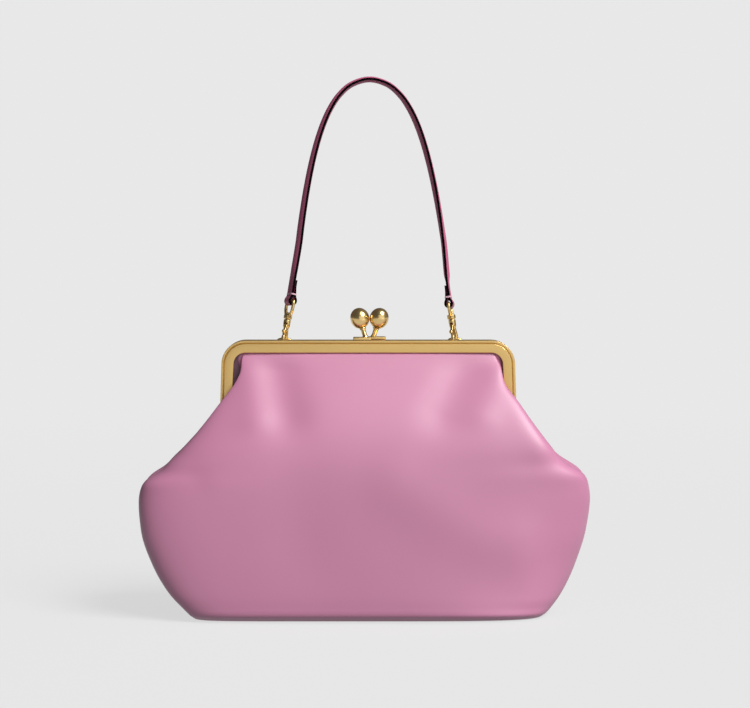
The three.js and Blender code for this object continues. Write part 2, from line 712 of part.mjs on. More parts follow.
function strap() {
  const left = foldedEnd(ENDS.left);
  const right = foldedEnd(ENDS.right).reverse();
  const { group, axis } = endGroup(ENDS.left);
  const bar = group.position.clone().addScaledVector(axis, ENDS.left.reach);
  const route = [...left, ...strapArch(bar), ...right];
  const stations = route.map(({ point, width, domed }, i) => {
    const before = route[Math.max(i - 1, 0)].point;
    const after = route[Math.min(i + 1, route.length - 1)].point;
    const across = after.clone().sub(before).cross(width).normalize();
    const up = across.clone().cross(after.clone().sub(before)).normalize();
    return { point, across, up, own: strapOutline(domed ? STRAP.crown : 0) };
  });
  return sweep(stations, strapOutline(0));
}

// Assembly

const bag = new THREE.Group();
const front = frontPanel();
bag.add(
  mesh('front_panel', front, pinkLeather),
  mesh('back_panel', mirrored(front), pinkLeather),
  mesh('front_frame', frameHalf('front'), gold),
  mesh('back_frame', frameHalf('back'), gold),
  mesh('left_hinge_rivet', hingeRivet(-1), gold),
  mesh('right_hinge_rivet', hingeRivet(1), gold),
  mesh('front_kiss_clasp', claspHalf(-1), gold),
  mesh('back_kiss_clasp', claspHalf(1), gold),
  mesh('strap', strap(), strapLeather),
);
for (const [name, end] of Object.entries(ENDS)) {
  const { group } = endGroup(end);
  const hook = new THREE.Group();
  hook.rotation.z = Math.PI / 2 - radians(end.hookTurnDeg);
  hook.add(
    mesh(`${name}_snap_hook`, snapHook(), gold),
    mesh(`${name}_hook_gate`, hookGate(), gold),
  );
  const eye = mesh(`${name}_swivel_eye`, swivelEye(end.reach), gold);
  eye.rotation.z = Math.PI / 2 - end.sign * radians(end.eyeTurnDeg);
  group.add(hook, eye);
  bag.add(group);
}

export default bag;
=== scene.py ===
# %% [markdown]
# # A kiss lock clutch bag
#
# The CAD part gives the bag's shape, size and moving joints as plain faceted solids. This lesson dresses
# them: soft pink leather, a satin gold purse frame, a polished ball clasp and a slim strap on two swivel
# hooks. Everything stays in the part's own frame, so each piece is built where the CAD says it is.
# Lengths below are in millimetres and are turned into metres when a mesh is made.

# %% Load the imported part
import math

import bmesh
import bpy
import numpy as np
from mathutils import Matrix, Vector


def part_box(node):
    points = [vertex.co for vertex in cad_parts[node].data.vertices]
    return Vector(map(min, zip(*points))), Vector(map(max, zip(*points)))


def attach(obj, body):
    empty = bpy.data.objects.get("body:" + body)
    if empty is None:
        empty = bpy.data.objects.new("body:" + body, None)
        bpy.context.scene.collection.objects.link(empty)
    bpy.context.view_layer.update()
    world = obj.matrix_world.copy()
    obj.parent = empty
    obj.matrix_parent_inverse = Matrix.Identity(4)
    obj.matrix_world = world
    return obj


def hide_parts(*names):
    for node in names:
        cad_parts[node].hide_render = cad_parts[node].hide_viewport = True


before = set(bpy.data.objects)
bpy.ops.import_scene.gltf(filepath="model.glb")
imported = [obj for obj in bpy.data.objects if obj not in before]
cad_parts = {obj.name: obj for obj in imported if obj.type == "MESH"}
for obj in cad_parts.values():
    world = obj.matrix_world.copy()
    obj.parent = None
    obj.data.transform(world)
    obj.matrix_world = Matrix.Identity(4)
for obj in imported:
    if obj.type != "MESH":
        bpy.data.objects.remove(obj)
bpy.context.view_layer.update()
MM = 0.001

# %% [markdown]
# ## The camera
#
# The picture to match is a product shot from a little above the middle of the bag. A long lens keeps the
# sides of the bag nearly parallel. The camera could be aimed by eye, but a target, a distance and a height
# angle are easier to correct, because each changes only one thing in the picture.

# %% Camera
CAMERA_TARGET = Vector((4.6, 0, 178)) * MM
CAMERA_DISTANCE = 1430 * MM
CAMERA_ELEVATION = math.radians(3.5)
CAMERA_LENS, SENSOR_WIDTH = 100, 36


def linked(name, data, place=(0, 0, 0), aim=None):
    """A new object in the scene. Where aim is given, it looks that way."""
    made = bpy.data.objects.new(name, data)
    bpy.context.scene.collection.objects.link(made)
    made.location = place
    if aim is not None:
        made.rotation_euler = aim.to_track_quat("-Z", "Y").to_euler()
    return made


to_camera = Vector((0, -math.cos(CAMERA_ELEVATION), math.sin(CAMERA_ELEVATION)))
camera_place = CAMERA_TARGET + to_camera * CAMERA_DISTANCE
camera = linked("camera", bpy.data.cameras.new("camera"), camera_place, -to_camera)
camera.data.lens = CAMERA_LENS
camera.data.sensor_width = SENSOR_WIDTH
bpy.context.scene.camera = camera
print("camera at", [round(v, 3) for v in camera.location])

# %% [markdown]
# ## From arrays to meshes
#
# Every piece here is a grid of points: rows along a path or down a panel, columns round a profile. Blender's
# modelling operators could draw the same shapes by hand, but a formula on whole arrays is exact, repeatable
# and easy to change. These helpers turn such a grid into a closed mesh whose faces point out.

# %% Grids and meshes
def grid_corners(rows, columns, wrap_rows=False, wrap_columns=True):
    """Row and column numbers of the corners of a grid's quads, counting on past a wrap."""
    down = np.arange(rows if wrap_rows else rows - 1)[:, None]
    right = np.arange(columns if wrap_columns else columns - 1)[None, :]
    steps = ((0, 0), (0, 1), (1, 1), (1, 0))
    pairs = [np.stack(np.broadcast_arrays(down + i, right + j), -1) for i, j in steps]
    return np.stack(pairs, -2).reshape(-1, 4, 2)


def grid_quads(rows, columns, wrap_rows=False, wrap_columns=True):
    """The same corners as point numbers, where a wrap comes back to the first row or column."""
    corners = grid_corners(rows, columns, wrap_rows, wrap_columns)
    return corners[..., 0] % rows * columns + corners[..., 1] % columns


def closed_mesh(name, points, quads, flats=(), corner_uv=None):
    """An object from points in millimetres and quads, with flats as many-sided end faces.

    The signed volume is the sum of each triangle's corner product over six. Where it is negative, all
    faces are turned round, so they always point out.
    """
    points = points.reshape(-1, 3)
    fans = [np.stack([np.full(len(f) - 2, f[0]), f[1:-1], f[2:]], -1) for f in flats]
    triangles = np.concatenate([quads[:, [0, 1, 2]], quads[:, [0, 2, 3]], *fans])
    a, b, c = (points[triangles[:, k]] for k in range(3))
    if np.einsum("ij,ij->", a, np.cross(b, c)) < 0:
        quads = quads[:, ::-1]
        flats = [f[::-1] for f in flats]
        corner_uv = None if corner_uv is None else corner_uv[:, ::-1]
    mesh = bpy.data.meshes.new(name)
    mesh.from_pydata((points * MM).tolist(), [], quads.tolist() + [f.tolist() for f in flats])
    if corner_uv is not None:
        values = np.zeros((len(mesh.loops), 2), np.float32)
        values[: quads.size] = corner_uv.reshape(-1, 2)
        mesh.uv_layers.new(name="along").data.foreach_set("uv", values.ravel())
    return linked(name, mesh)


def unit(vectors):
    """Each vector over its own length."""
    return vectors / np.linalg.norm(vectors, axis=-1, keepdims=True)


def lengths_along(points):
    """Distance of each point from the first, along the line through them."""
    steps = np.linalg.norm(np.diff(points, axis=0), axis=-1)
    return np.concatenate([[0], np.cumsum(steps)])


def lengths_round(points):
    """The same on a closed line, with its whole length at the end."""
    return lengths_along(np.concatenate([points, points[:1]]))


def arc(start, end, count, endpoint=True):
    """Cosine and sine of even angles from start to end."""
    angle = np.linspace(start, end, count, endpoint=endpoint)
    return np.stack([np.cos(angle), np.sin(angle)], -1)


def circle(count):
    """Points round a circle of radius one."""
    return arc(0, 2 * math.pi, count, endpoint=False)


print("a tube of 3 rings of 4 points has", len(grid_quads(3, 4)), "quads")

# %% [markdown]
# Four ways of filling a grid cover all the metal on the bag: a profile swept along a path, a round rod along
# a smooth curve, a turned shape, and a flat slab with rounded edges. Real plated parts have no sharp edges,
# so each corner of a profile carries its own small radius.

# %% Profiles and paths
ARC_STEPS, SPAN_STEPS, EDGE_RINGS = 6, 32, 5


def rounded(corners, closed=True, steps=ARC_STEPS):
    """An outline with each corner (a, b, radius) replaced by an arc that touches both its sides.

    The arc's centre lies on the corner's bisector, the radius over the sine of the half angle away. An
    open outline keeps its two end points as they are.
    """
    corners = np.asarray(corners, float)
    place, radius = corners[:, :2], corners[:, 2:]
    before = unit(np.roll(place, 1, 0) - place)
    after = unit(np.roll(place, -1, 0) - place)
    half = np.arccos(np.clip((before * after).sum(1, keepdims=True), -1, 1)) / 2
    reach = radius / np.tan(half)
    centre = place + unit(before + after) * radius / np.sin(half)
    start = (place + before * reach - centre)[:, None]
    end = (place + after * reach - centre)[:, None]
    swing = (math.pi - 2 * half)[:, None]
    share = np.linspace(0, 1, steps)[None, :, None]
    bow = np.sin((1 - share) * swing) * start + np.sin(share * swing) * end
    points = centre[:, None] + bow / np.sin(swing)
    if closed:
        return points.reshape(-1, 2)
    return np.concatenate([place[:1], points[1:-1].reshape(-1, 2), place[-1:]])


def rounded_box(x1, x2, y1, y2, radius):
    """A rectangle with rounded corners."""
    return rounded([(x1, y1, radius), (x2, y1, radius), (x2, y2, radius), (x1, y2, radius)])


def smooth_path(points, count):
    """Evenly spaced points on a curve through the given ones.

    Each span is a cubic whose end tangents come from the chords on both sides, weighed by the square roots
    of their lengths. The curve is then measured and cut into equal lengths.
    """
    points = np.asarray(points, float)
    points = np.concatenate([[2 * points[0] - points[1]], points, [2 * points[-1] - points[-2]]])
    step = np.sqrt(np.linalg.norm(np.diff(points, axis=0), axis=1))[:, None]
    chord = np.diff(points, axis=0) / step
    tangent = chord[:-1] - (points[2:] - points[:-2]) / (step[:-1] + step[1:]) + chord[1:]
    t = np.linspace(0, 1, SPAN_STEPS, endpoint=False)[None, :, None]
    weights = (2 * t**3 - 3 * t**2 + 1, t**3 - 2 * t**2 + t, -2 * t**3 + 3 * t**2, t**3 - t**2)
    parts = (points[1:-2], tangent[:-1] * step[1:-1], points[2:-1], tangent[1:] * step[1:-1])
    curve = sum(weight * part[:, None] for weight, part in zip(weights, parts))
    curve = np.concatenate([curve.reshape(-1, points.shape[1]), points[-2:-1]])
    along = lengths_along(curve[:, :3])
    even = np.linspace(0, along[-1], count)
    return np.stack([np.interp(even, along, column) for column in curve.T], -1)


print("a rounded square has", len(rounded_box(0, 9, 0, 9, 1)), "points")

# %% Sweeps and rods
def tube(name, points, along, around, lengthwise=False, caps=True, ring=False):
    """A closed mesh from rows of points, with the lengths along and round it as a UV map.

    Flat faces close its ends. In a ring the last row meets the first one instead. lengthwise turns the
    map, so that its first axis runs along the rows.
    """
    rows, columns = points.shape[:2]
    corners = grid_corners(rows, columns, ring)
    uv = np.stack([around[corners[..., 1]], along[corners[..., 0]]], -1) * MM
    uv = uv[..., ::-1] if lengthwise else uv
    first = np.arange(columns)
    flats = [first[::-1], first + (rows - 1) * columns] if caps else []
    return closed_mesh(name, points, grid_quads(rows, columns, ring), flats, uv)


def swept(name, path, across, up, outline):
    """The solid that an outline makes along a path: point plus a times across plus b times up.

    One outline serves for the whole path, or there is one for each of its points.
    """
    points = path[:, None] + outline[..., :1] * across[:, None] + outline[..., 1:] * up[:, None]
    section = outline.reshape(-1, points.shape[1], 2)[0]
    return tube(name, points, lengths_along(path), lengths_round(section), lengthwise=True)


def rod(name, points, radius, sideways, steps, sides=20):
    """A round rod on a smooth curve, with domed ends. sideways is never parallel to the curve."""
    path = smooth_path(points, steps)
    tangent = unit(np.gradient(path, axis=0))
    narrow, rise = arc(0, math.pi / 2, ARC_STEPS)[1:-1].T[:, :, None]
    low, high = tangent[:1], tangent[-1:]
    path = np.concatenate([path[:1] - radius * rise[::-1] * low, path, path[-1:] + radius * rise * high])
    scale = np.concatenate([narrow[::-1], np.ones((steps, 1)), narrow])
    tangent = np.concatenate([low.repeat(len(rise), 0), tangent, high.repeat(len(rise), 0)])
    across = unit(np.cross(tangent, np.asarray(sideways, float)))
    up = np.cross(across, tangent)
    return swept(name, path, across * scale, up * scale, radius * circle(sides))


print("each end of a rod is domed by", ARC_STEPS - 2, "rings")

# %% Turned shapes, washers and slabs
MERGE_WITHIN = 1e-4 * MM


def turned(name, profile, segments=48, ring=False):
    """A turned shape round Z from radius and height. Rows that meet the axis are merged to a point."""
    radius, height = np.asarray(profile, float).T[:, :, None]
    x, y = circle(segments).T
    points = np.stack(np.broadcast_arrays(radius * x, radius * y, height), -1)
    girth = 2 * math.pi * radius.max() * np.arange(segments + 1) / segments
    made = tube(name, points, lengths_round(profile), girth, caps=False, ring=ring)
    work = bmesh.new()
    work.from_mesh(made.data)
    bmesh.ops.remove_doubles(work, verts=work.verts, dist=MERGE_WITHIN)
    work.to_mesh(made.data)
    work.free()
    return made


def washer(name, bore, outer, low, high, bore_round, outer_round):
    """A flat ring round Z with rounded edges."""
    profile = rounded([
        (bore, low, bore_round), (outer, low, outer_round),
        (outer, high, outer_round), (bore, high, bore_round),
    ])
    return turned(name, profile, ring=True)


def slab(name, outline, half, edge, upright=False):
    """A flat piece with rounded edges, as rings of the outline.

    A ring at angle t is drawn in by edge times one minus cos t, and lies edge times sin t above the flat
    side. upright stands the outline in the XZ plane, with the thickness along Y.
    """
    x, y = outline.T
    area = np.sum(x * np.roll(y, -1) - y * np.roll(x, -1))
    outline = outline if area > 0 else outline[::-1]
    tangent = unit(np.roll(outline, -1, 0) - np.roll(outline, 1, 0))
    outward = tangent[:, ::-1] * (1, -1)
    turn_cos, turn_sin = arc(0, math.pi / 2, EDGE_RINGS).T
    inset = edge * (1 - turn_cos)
    rise = half - edge + edge * turn_sin
    level = np.concatenate([-rise[::-1], rise])[:, None, None]
    inset = np.concatenate([inset[::-1], inset])[:, None, None]
    rings = outline - outward * inset
    points = np.concatenate([rings, np.broadcast_to(level, rings[..., :1].shape)], -1)
    points = points[..., [0, 2, 1]] if upright else points
    return tube(name, points, edge * np.arange(len(points)), lengths_round(outline))


print("a slab's edge is rounded by", EDGE_RINGS, "rings on each side")

# %% [markdown]
# Soldered metal is one solid on the real bag. Shells that merely overlap would look right, but their hidden
# insides would be in the mesh too, so the shells are united, or one cut from another, with an exact Boolean.

# %% Solder, cut and finish
# The numbers of the lowest and the highest corner of a bounding box.
LOW_CORNER, HIGH_CORNER = 0, 6


def worked(first, operation, *others):
    """The first shell united with the others, or with them cut out. The others are removed."""
    for other in others:
        step = first.modifiers.new(other.name, "BOOLEAN")
        step.operation = operation
        step.solver = "EXACT"
        step.object = other
    result = first.evaluated_get(bpy.context.evaluated_depsgraph_get())
    mesh = bpy.data.meshes.new_from_object(result)
    name = first.name
    for piece in (first, *others):
        bpy.data.objects.remove(piece)
    mesh.name = name
    return linked(name, mesh)


def shift(x, y, z):
    """The move by a distance in millimetres."""
    return Matrix.Translation(Vector((x, y, z)) * MM)


def moved(piece, matrix):
    """The piece with its mesh turned and shifted, while its object stays at the origin."""
    piece.data.transform(matrix)
    return piece


def finished(piece, finish, body, node=None, sharp_deg=40):
    """Gives a piece its finish, smooth shading and body. Where a CAD node is named, that node is hidden and
    the piece's box is printed against its box.
    """
    piece.data.materials.clear()
    piece.data.materials.append(finish)
    piece.data.shade_smooth()
    piece.data.set_sharp_from_angle(angle=math.radians(sharp_deg))
    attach(piece, body)
    note = ""
    if node:
        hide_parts(node)
        corners = np.array([piece.bound_box[LOW_CORNER], piece.bound_box[HIGH_CORNER]])
        off = np.abs(corners - np.array(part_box(node))).max() / MM
        note = f", box within {off:.2f} mm of {node}"
    print(f"{piece.name}: {len(piece.data.polygons)} faces{note}")


print("a shift by 1 mm is", round(shift(0, 0, 1).translation.z, 4), "m")

# %% [markdown]
# ## Shader maths
#
# Finishes are written as node trees. Adding nodes by hand takes many lines, so a small class wraps a socket:
# adding or multiplying two of them adds the Math node that does it. One method makes any other node.

# %% Node maker
class Wire:
    """A socket that can be used in arithmetic. Each operator adds one Math node."""

    def __init__(self, maker, socket):
        self.maker = maker
        self.socket = socket

    def math(self, operation, other):
        return self.maker.node("Math", {"operation": operation}, {0: self, 1: other})

    def __add__(self, other):
        return self.math("ADD", other)

    def __mul__(self, other):
        return self.math("MULTIPLY", other)

    __radd__ = __add__
    __rmul__ = __mul__


class NodeMaker:
    """Fills one node tree."""

    def __init__(self, tree):
        self.tree = tree
        tree.nodes.clear()

    def node(self, kind, settings=(), sockets=(), output=0):
        """A node of any kind: its settings come first, then the values or links of its sockets."""
        made = self.tree.nodes.new("ShaderNode" + kind)
        for name, value in dict(settings).items():
            setattr(made, name, value)
        for key, value in dict(sockets).items():
            if isinstance(value, Wire):
                self.tree.links.new(value.socket, made.inputs[key])
            else:
                made.inputs[key].default_value = value
        return Wire(self, made.outputs[output]) if len(made.outputs) else None

    def place(self, kind="Object"):
        """Coordinates of the kind that is asked for."""
        return self.node("TexCoord", output=kind)

    def mix(self, share, first, second):
        """A blend of two colours. They are inputs 6 and 7 of the Mix node, and the blend is output 2."""
        return self.node("Mix", {"data_type": "RGBA"}, {0: share, 6: first, 7: second}, 2)

    def noise(self, place, scale, detail=2.0):
        """Soft noise between zero and one."""
        return self.node("TexNoise", (), {"Vector": place, "Scale": scale, "Detail": detail})

    def bump(self, height, strength, distance):
        """The surface's normal, tilted by the slope of a height."""
        return self.node("Bump", (), {"Height": height, "Strength": strength, "Distance": distance})


def new_finish(name):
    """An empty material and its node maker."""
    material = bpy.data.materials.new(name)
    material.use_nodes = True
    return material, NodeMaker(material.node_tree)


def skin(maker, **sockets):
    """The shader of a surface. Names use _ for the spaces in the sockets' names."""
    named = {name.replace("_", " "): value for name, value in sockets.items()}
    maker.node("OutputMaterial", (), {"Surface": maker.node("BsdfPrincipled", (), named)})


def rgb(red, green, blue):
    """A colour in linear light, opaque."""
    return (red, green, blue, 1.0)


print("a colour has", len(rgb(0, 0, 0)), "channels")

# %% [markdown]
# ## Leather finishes
#
# The body is smooth dyed leather: an even pink with a soft, wide shine. Up close it has fine pores and a
# slight unevenness of dye. Where it goes into the slot beside the frame's legs, a deep wine red is painted
# in as shade. A picture of leather could be wrapped round the panels, but noise in the piece's own
# coordinates needs no seams and no file. The strap has the same grain, and its cut edges have a black paint
# of their own.

# %% Leather
BODY_PINK = rgb(0.605, 0.235, 0.384)
BODY_ROSE = rgb(0.565, 0.205, 0.348)
# Painted shade: the deep wine red laid on the leather where it goes into the frame's slot.
PAINTED_SHADE_WINE = rgb(0.09, 0.012, 0.04)
STRAP_PINK = rgb(0.56, 0.128, 0.245)
STRAP_ROSE = rgb(0.5, 0.108, 0.215)
THREAD_PINK = rgb(0.80, 0.50, 0.60)
EDGE_BLACK = rgb(0.002, 0.0015, 0.002)
CLOUD_SCALE, PORE_SCALE, FIBRE_SCALE, PAINT_SCALE = 16.0, 1250.0, 2600.0, 900.0
LEATHER_DETAIL, GRAIN_STRENGTH, GRAIN_DEPTH = 3.0, 0.18, 0.05 * MM
LEATHER_ROUGHNESS, CLOUD_ROUGHNESS, FIBRE_ROUGHNESS = 0.43, 0.08, 0.03
PORE_SHARE, FIBRE_SHARE, PAINT_UNEVEN = 0.7, 0.3, 0.1


def dyed_leather(name, light, deep, shine):
    """Leather with clouds in its dye and a grain of pores and fibres, in object coordinates.

    The attribute named here sets how much painted shade, a deep wine red, lies on the leather where it goes
    into the frame's slot. On a mesh without it, there is none.
    """
    material, maker = new_finish(name)
    place = maker.place()
    cloud = maker.noise(place, CLOUD_SCALE, LEATHER_DETAIL)
    pores = maker.node("TexVoronoi", {"feature": "SMOOTH_F1"}, {"Vector": place, "Scale": PORE_SCALE})
    fibre = maker.noise(place, FIBRE_SCALE, LEATHER_DETAIL)
    painted_shade = maker.node("Attribute", {"attribute_name": "painted_shade"}, (), "Fac")
    # Painted shade: the attribute mixes the wine red in where the leather goes into the slot.
    colour = maker.mix(painted_shade, maker.mix(cloud, deep, light), PAINTED_SHADE_WINE)
    roughness = LEATHER_ROUGHNESS + CLOUD_ROUGHNESS * cloud + FIBRE_ROUGHNESS * fibre
    normal = maker.bump(pores * PORE_SHARE + fibre * FIBRE_SHARE, GRAIN_STRENGTH, GRAIN_DEPTH)
    skin(maker, Base_Color=colour, Roughness=roughness, Normal=normal, Specular_IOR_Level=shine)
    return material


def plain_finish(name, colour, roughness, shine):
    """Edge paint or thread: one colour with a little unevenness of its shine."""
    material, maker = new_finish(name)
    uneven = maker.noise(maker.place(), PAINT_SCALE)
    skin(maker, Base_Color=colour, Roughness=roughness + PAINT_UNEVEN * uneven, Specular_IOR_Level=shine)
    return material


BODY_LEATHER = dyed_leather("smooth_pink_leather", BODY_PINK, BODY_ROSE, 1.0)
STRAP_LEATHER = dyed_leather("strap_leather", STRAP_PINK, STRAP_ROSE, 0.3)
EDGE_PAINT = plain_finish("black_edge_paint", EDGE_BLACK, 0.6, 0.02)
THREAD = plain_finish("pink_thread", THREAD_PINK, 0.6, 0.3)
print("leather finishes:", BODY_LEATHER.name, STRAP_LEATHER.name, EDGE_PAINT.name, THREAD.name)

# %% [markdown]
# ## Gold finishes
#
# The purse frame is satin: the plate is brushed along the bar, which blurs what it reflects. The clasp and
# the hooks are small castings, polished and a little uneven. Both are metal all over, so the colour is the
# tint of the reflections. The brush lines run along the frame's own UV map, because the frame turns corners.

# %% Gold
SATIN_GOLD = rgb(0.745, 0.505, 0.195)
BRIGHT_GOLD = rgb(0.78, 0.565, 0.25)
TARNISH = rgb(0.50, 0.345, 0.12)
BRUSH_SCALE, SATIN_CLOUD_SCALE, SATIN_TARNISH = (25.0, 4200.0, 1.0), 60.0, 0.25
CASTING_SCALE, HANDLING_SCALE = 420.0, 2200.0
SATIN_ROUGHNESS, STROKE_ROUGHNESS, STROKE_STRENGTH, STROKE_DEPTH = 0.27, 0.1, 0.06, 0.02 * MM
HANDLING_ROUGHNESS, CASTING_STRENGTH, CASTING_DEPTH = 0.12, 0.06, 0.1 * MM


def satin_gold():
    """Brushed plate: noise that is drawn out along the UV map."""
    material, maker = new_finish("satin_gold_plate")
    drawn_out = maker.node("Mapping", (), {"Vector": maker.place("UV"), "Scale": BRUSH_SCALE})
    strokes = maker.noise(drawn_out, 1.0)
    cloud = maker.noise(maker.place(), SATIN_CLOUD_SCALE)
    colour = maker.mix(cloud * SATIN_TARNISH, SATIN_GOLD, TARNISH)
    normal = maker.bump(strokes, STROKE_STRENGTH, STROKE_DEPTH)
    roughness = SATIN_ROUGHNESS + STROKE_ROUGHNESS * strokes
    skin(maker, Base_Color=colour, Metallic=1.0, Roughness=roughness, Normal=normal)
    return material


def cast_gold(name, tarnish, roughness):
    """Plated castings: a little uneven, with tarnish in the hollows of the noise."""
    material, maker = new_finish(name)
    place = maker.place()
    casting = maker.noise(place, CASTING_SCALE)
    handling = maker.noise(place, HANDLING_SCALE)
    colour = maker.mix(casting * tarnish, BRIGHT_GOLD, TARNISH)
    normal = maker.bump(casting, CASTING_STRENGTH, CASTING_DEPTH)
    uneven = roughness + HANDLING_ROUGHNESS * handling
    skin(maker, Base_Color=colour, Metallic=1.0, Roughness=uneven, Normal=normal)
    return material


SATIN = satin_gold()
POLISHED = cast_gold("polished_gold_plate", 0.35, 0.19)
WORN = cast_gold("worn_gold_plate", 0.95, 0.26)
print("gold finishes:", SATIN.name, POLISHED.name, WORN.name)

# %% [markdown]
# ## The leather panels
#
# Two soft panels are held in the frame's slots, swell out below it and are sewn together from the hips down
# to the base. Simulated cloth would find some slack shape of its own, but the bag in the picture has one
# definite outline and folds that can be pointed at. So each panel is lofted from a table of sections, much
# as the CAD part's panels are, but with smooth curves between the rows and a few more rows at the hips.

# %% The panel's sections
SECTION_COLUMNS = ("z", "rise", "left", "right", "front", "lobe", "tuck", "rear", "turn", "reach",
                   "left_power", "right_power")
# z is the height at the sides and rise what the middle adds. left and right are half widths, front and lobe
# distances from the centre plane in the middle and at the widest point. From there the leather runs back to
# a seat, tuck inside the outline and rear from the centre plane, turns by turn degrees and ends after reach.
# The powers say how boxy the front is on each side: 2 is an ellipse.
SECTIONS = np.array([
    (181.4, 0, 84, 84, 4.5, 4.5, -0.2, 4.5, 180, 0.2, 2, 2),
    (180, 0, 85, 85, 4.5, 4.5, -2.5, 4.5, 180, 1.4, 2, 2),
    (178.2, 0, 85.4, 86, 6.2, 5, -4, 4.4, 180, 1.9, 2, 2.4),
    (174, 0, 86.4, 88, 8.8, 7, -3.2, 4.2, 180, 3.5, 2, 3),
    (168, 0, 86.8, 90.8, 12.6, 9.6, -0.8, 4.5, 180, 5.2, 2, 5),
    (160, 0, 90, 92.4, 17.8, 13, 1, 7.4, 180, 4.6, 2, 6),
    (147, 0, 99.8, 101.8, 26.4, 16.5, 11.1, 8.4, 180, 4.4, 2, 6.6),
    (135, 0, 108.9, 110.1, 33.2, 19.5, 19.4, 8.4, 180, 3.5, 2.2, 6.4),
    (122, 0, 119.6, 119.8, 38.8, 20.5, 29.2, 8, 165, 2.2, 2.6, 5.6),
    (115, 0, 126.1, 125.3, 40.9, 20, 32, 3.6, 70, 1.5, 3, 4.4),
    (109, 0, 131.8, 129.7, 42.3, 18, 26, 0.15, 0, 1.2, 3.3, 3.6),
    (105.5, 0, 136, 133.3, 42.9, 16.5, 22.2, 0.15, 0, 1.1, 3.5, 3.3),
    (102, 0, 138.7, 140, 43.5, 15, 18.5, 0.15, 0, 1, 3.7, 3.1),
    (99, 0, 141.4, 145.2, 43.9, 13.5, 15.2, 0.13, 0, 1.1, 3.95, 3),
    (96, 0, 147, 148.4, 44.3, 12, 12, 0.12, 0, 1.2, 4.2, 2.9),
    (93, 0, 152.2, 149.5, 44.6, 10.7, 9.6, 0.1, 0, 1.2, 4.5, 2.85),
    (90, 0, 154, 150.4, 44.9, 9.5, 7.5, 0.1, 0, 1.2, 4.8, 2.8),
    (80, 0, 156, 151.9, 45.7, 6.5, 3.8, 0.1, 0, 1.2, 5.6, 2.7),
    (60, 0, 154.2, 149.8, 46.7, 3.2, 1.7, 0.1, 0, 1.2, 7, 2.6),
    (36, 0, 145.8, 142.9, 47.4, 2.2, 1.2, 0.1, 0, 1.2, 8, 2.5),
    (18, 0, 135.1, 134.8, 47.5, 2.2, 1.2, 0.1, 0, 1.2, 8.6, 2.7),
    (8, 0.8, 126.3, 128, 47.3, 2.2, 1.2, 0.1, 0, 1.2, 9, 3.1),
    (3.6, 1.3, 122.4, 124, 46.4, 2.2, 1.2, 0.1, 0, 1.2, 9, 3.6),
    (1.2, 1.6, 120.4, 121.4, 44, 2.2, 1.2, 0.1, 0, 1.2, 9, 4),
    (0, 0, 118.2, 118.4, 38, 2, 1, 0.1, 0, 1.2, 8, 4.2),
    (0, 0, 109, 107, 18, 1.2, 0.6, 0.1, 0, 1, 5, 4),
    (0, 0, 102, 101, 0.12, 0.12, 0.1, 0.1, 0, 0.8, 3, 3),
])
PANEL_ROWS, TABLE_STEP, BELL_STEPS = 210, 0.5, 40
OUTLINE_BLUR, SURFACE_BLUR = 2.4, 5.5
# The blur sets in over these distances below the held edge and heights above the base.
BLUR_BELOW_SLOT, BLUR_ABOVE_BASE = (5, 26), (3, 16)
print("sections:", len(SECTIONS), "with", len(SECTION_COLUMNS), "columns each")

# %% Curves through the sections
def monotone_curve(at, x, y):
    """A curve through (x, y) that rises and falls only where they do.

    Each piece is a cubic. The slope at a point is the harmonic mean of the slopes on its two sides, or
    zero where they differ in sign.
    """
    step = np.diff(x)
    chord = np.diff(y) / step
    before, after = chord[:-1], chord[1:]
    heavy, light = 2 * step[1:] + step[:-1], step[1:] + 2 * step[:-1]
    product = before * after
    slope = np.concatenate([chord[:1], np.zeros(len(product)), chord[-1:]])
    harmonic = (heavy + light) * product / np.where(product > 0, heavy * after + light * before, 1)
    slope[1:-1] = np.where(product > 0, harmonic, 0)
    i = np.clip(np.searchsorted(x, at) - 1, 0, len(step) - 1)
    t, h = (at - x[i]) / step[i], step[i]
    low = y[i] * (2 * t**3 - 3 * t**2 + 1) + h * slope[i] * (t**3 - 2 * t**2 + t)
    return low + y[i + 1] * (3 * t**2 - 2 * t**3) + h * slope[i + 1] * (t**3 - t**2)


def smooth_step(value, low, high):
    """Zero below low, one above high, and an S curve between them."""
    share = np.clip((value - low) / (high - low), 0, 1)
    return share * share * (3 - 2 * share)


def panel_rows(count):
    """The section table at count even steps down the middle of the panel, as named columns.

    Each column is a monotone curve of the distance down the panel. It is then averaged over a few
    millimetres with a bell curve, except in the slot, so that no row of the table shows as a ridge.
    """
    z, front = SECTIONS[:, 0], SECTIONS[:, 4]
    distance = np.concatenate([[0], np.cumsum(np.hypot(np.diff(z), np.diff(front)))])
    fine = np.arange(0, distance[-1], TABLE_STEP)
    reach = np.arange(-BELL_STEPS, BELL_STEPS + 1) * TABLE_STEP
    free = smooth_step(fine, *BLUR_BELOW_SLOT) * smooth_step(np.interp(fine, distance, z), *BLUR_ABOVE_BASE)
    columns = {}
    for name, values in zip(SECTION_COLUMNS, SECTIONS.T):
        curve = monotone_curve(fine, distance, values)
        blur = OUTLINE_BLUR if name in ("z", "rise", "left", "right") else SURFACE_BLUR
        bell = np.exp(-((reach / blur) ** 2) / 2)
        padded = np.pad(curve, BELL_STEPS, mode="edge")
        soft = np.convolve(padded, bell / bell.sum(), mode="valid")
        curve = curve + (soft - curve) * free
        columns[name] = np.interp(np.linspace(0, fine[-1], count), fine, curve)[:, None]
    return columns


rows = panel_rows(PANEL_ROWS)
print("panel rows:", PANEL_ROWS, "widest at z", round(float(rows["z"][rows["left"].argmax(), 0]), 1))

# %% [markdown]
# The folds hang from the frame: where the leather is gathered into the slot it sinks into valleys and stands
# up in ridges beside them. Each is a soft line in the front view with a depth and a width, and they add up.

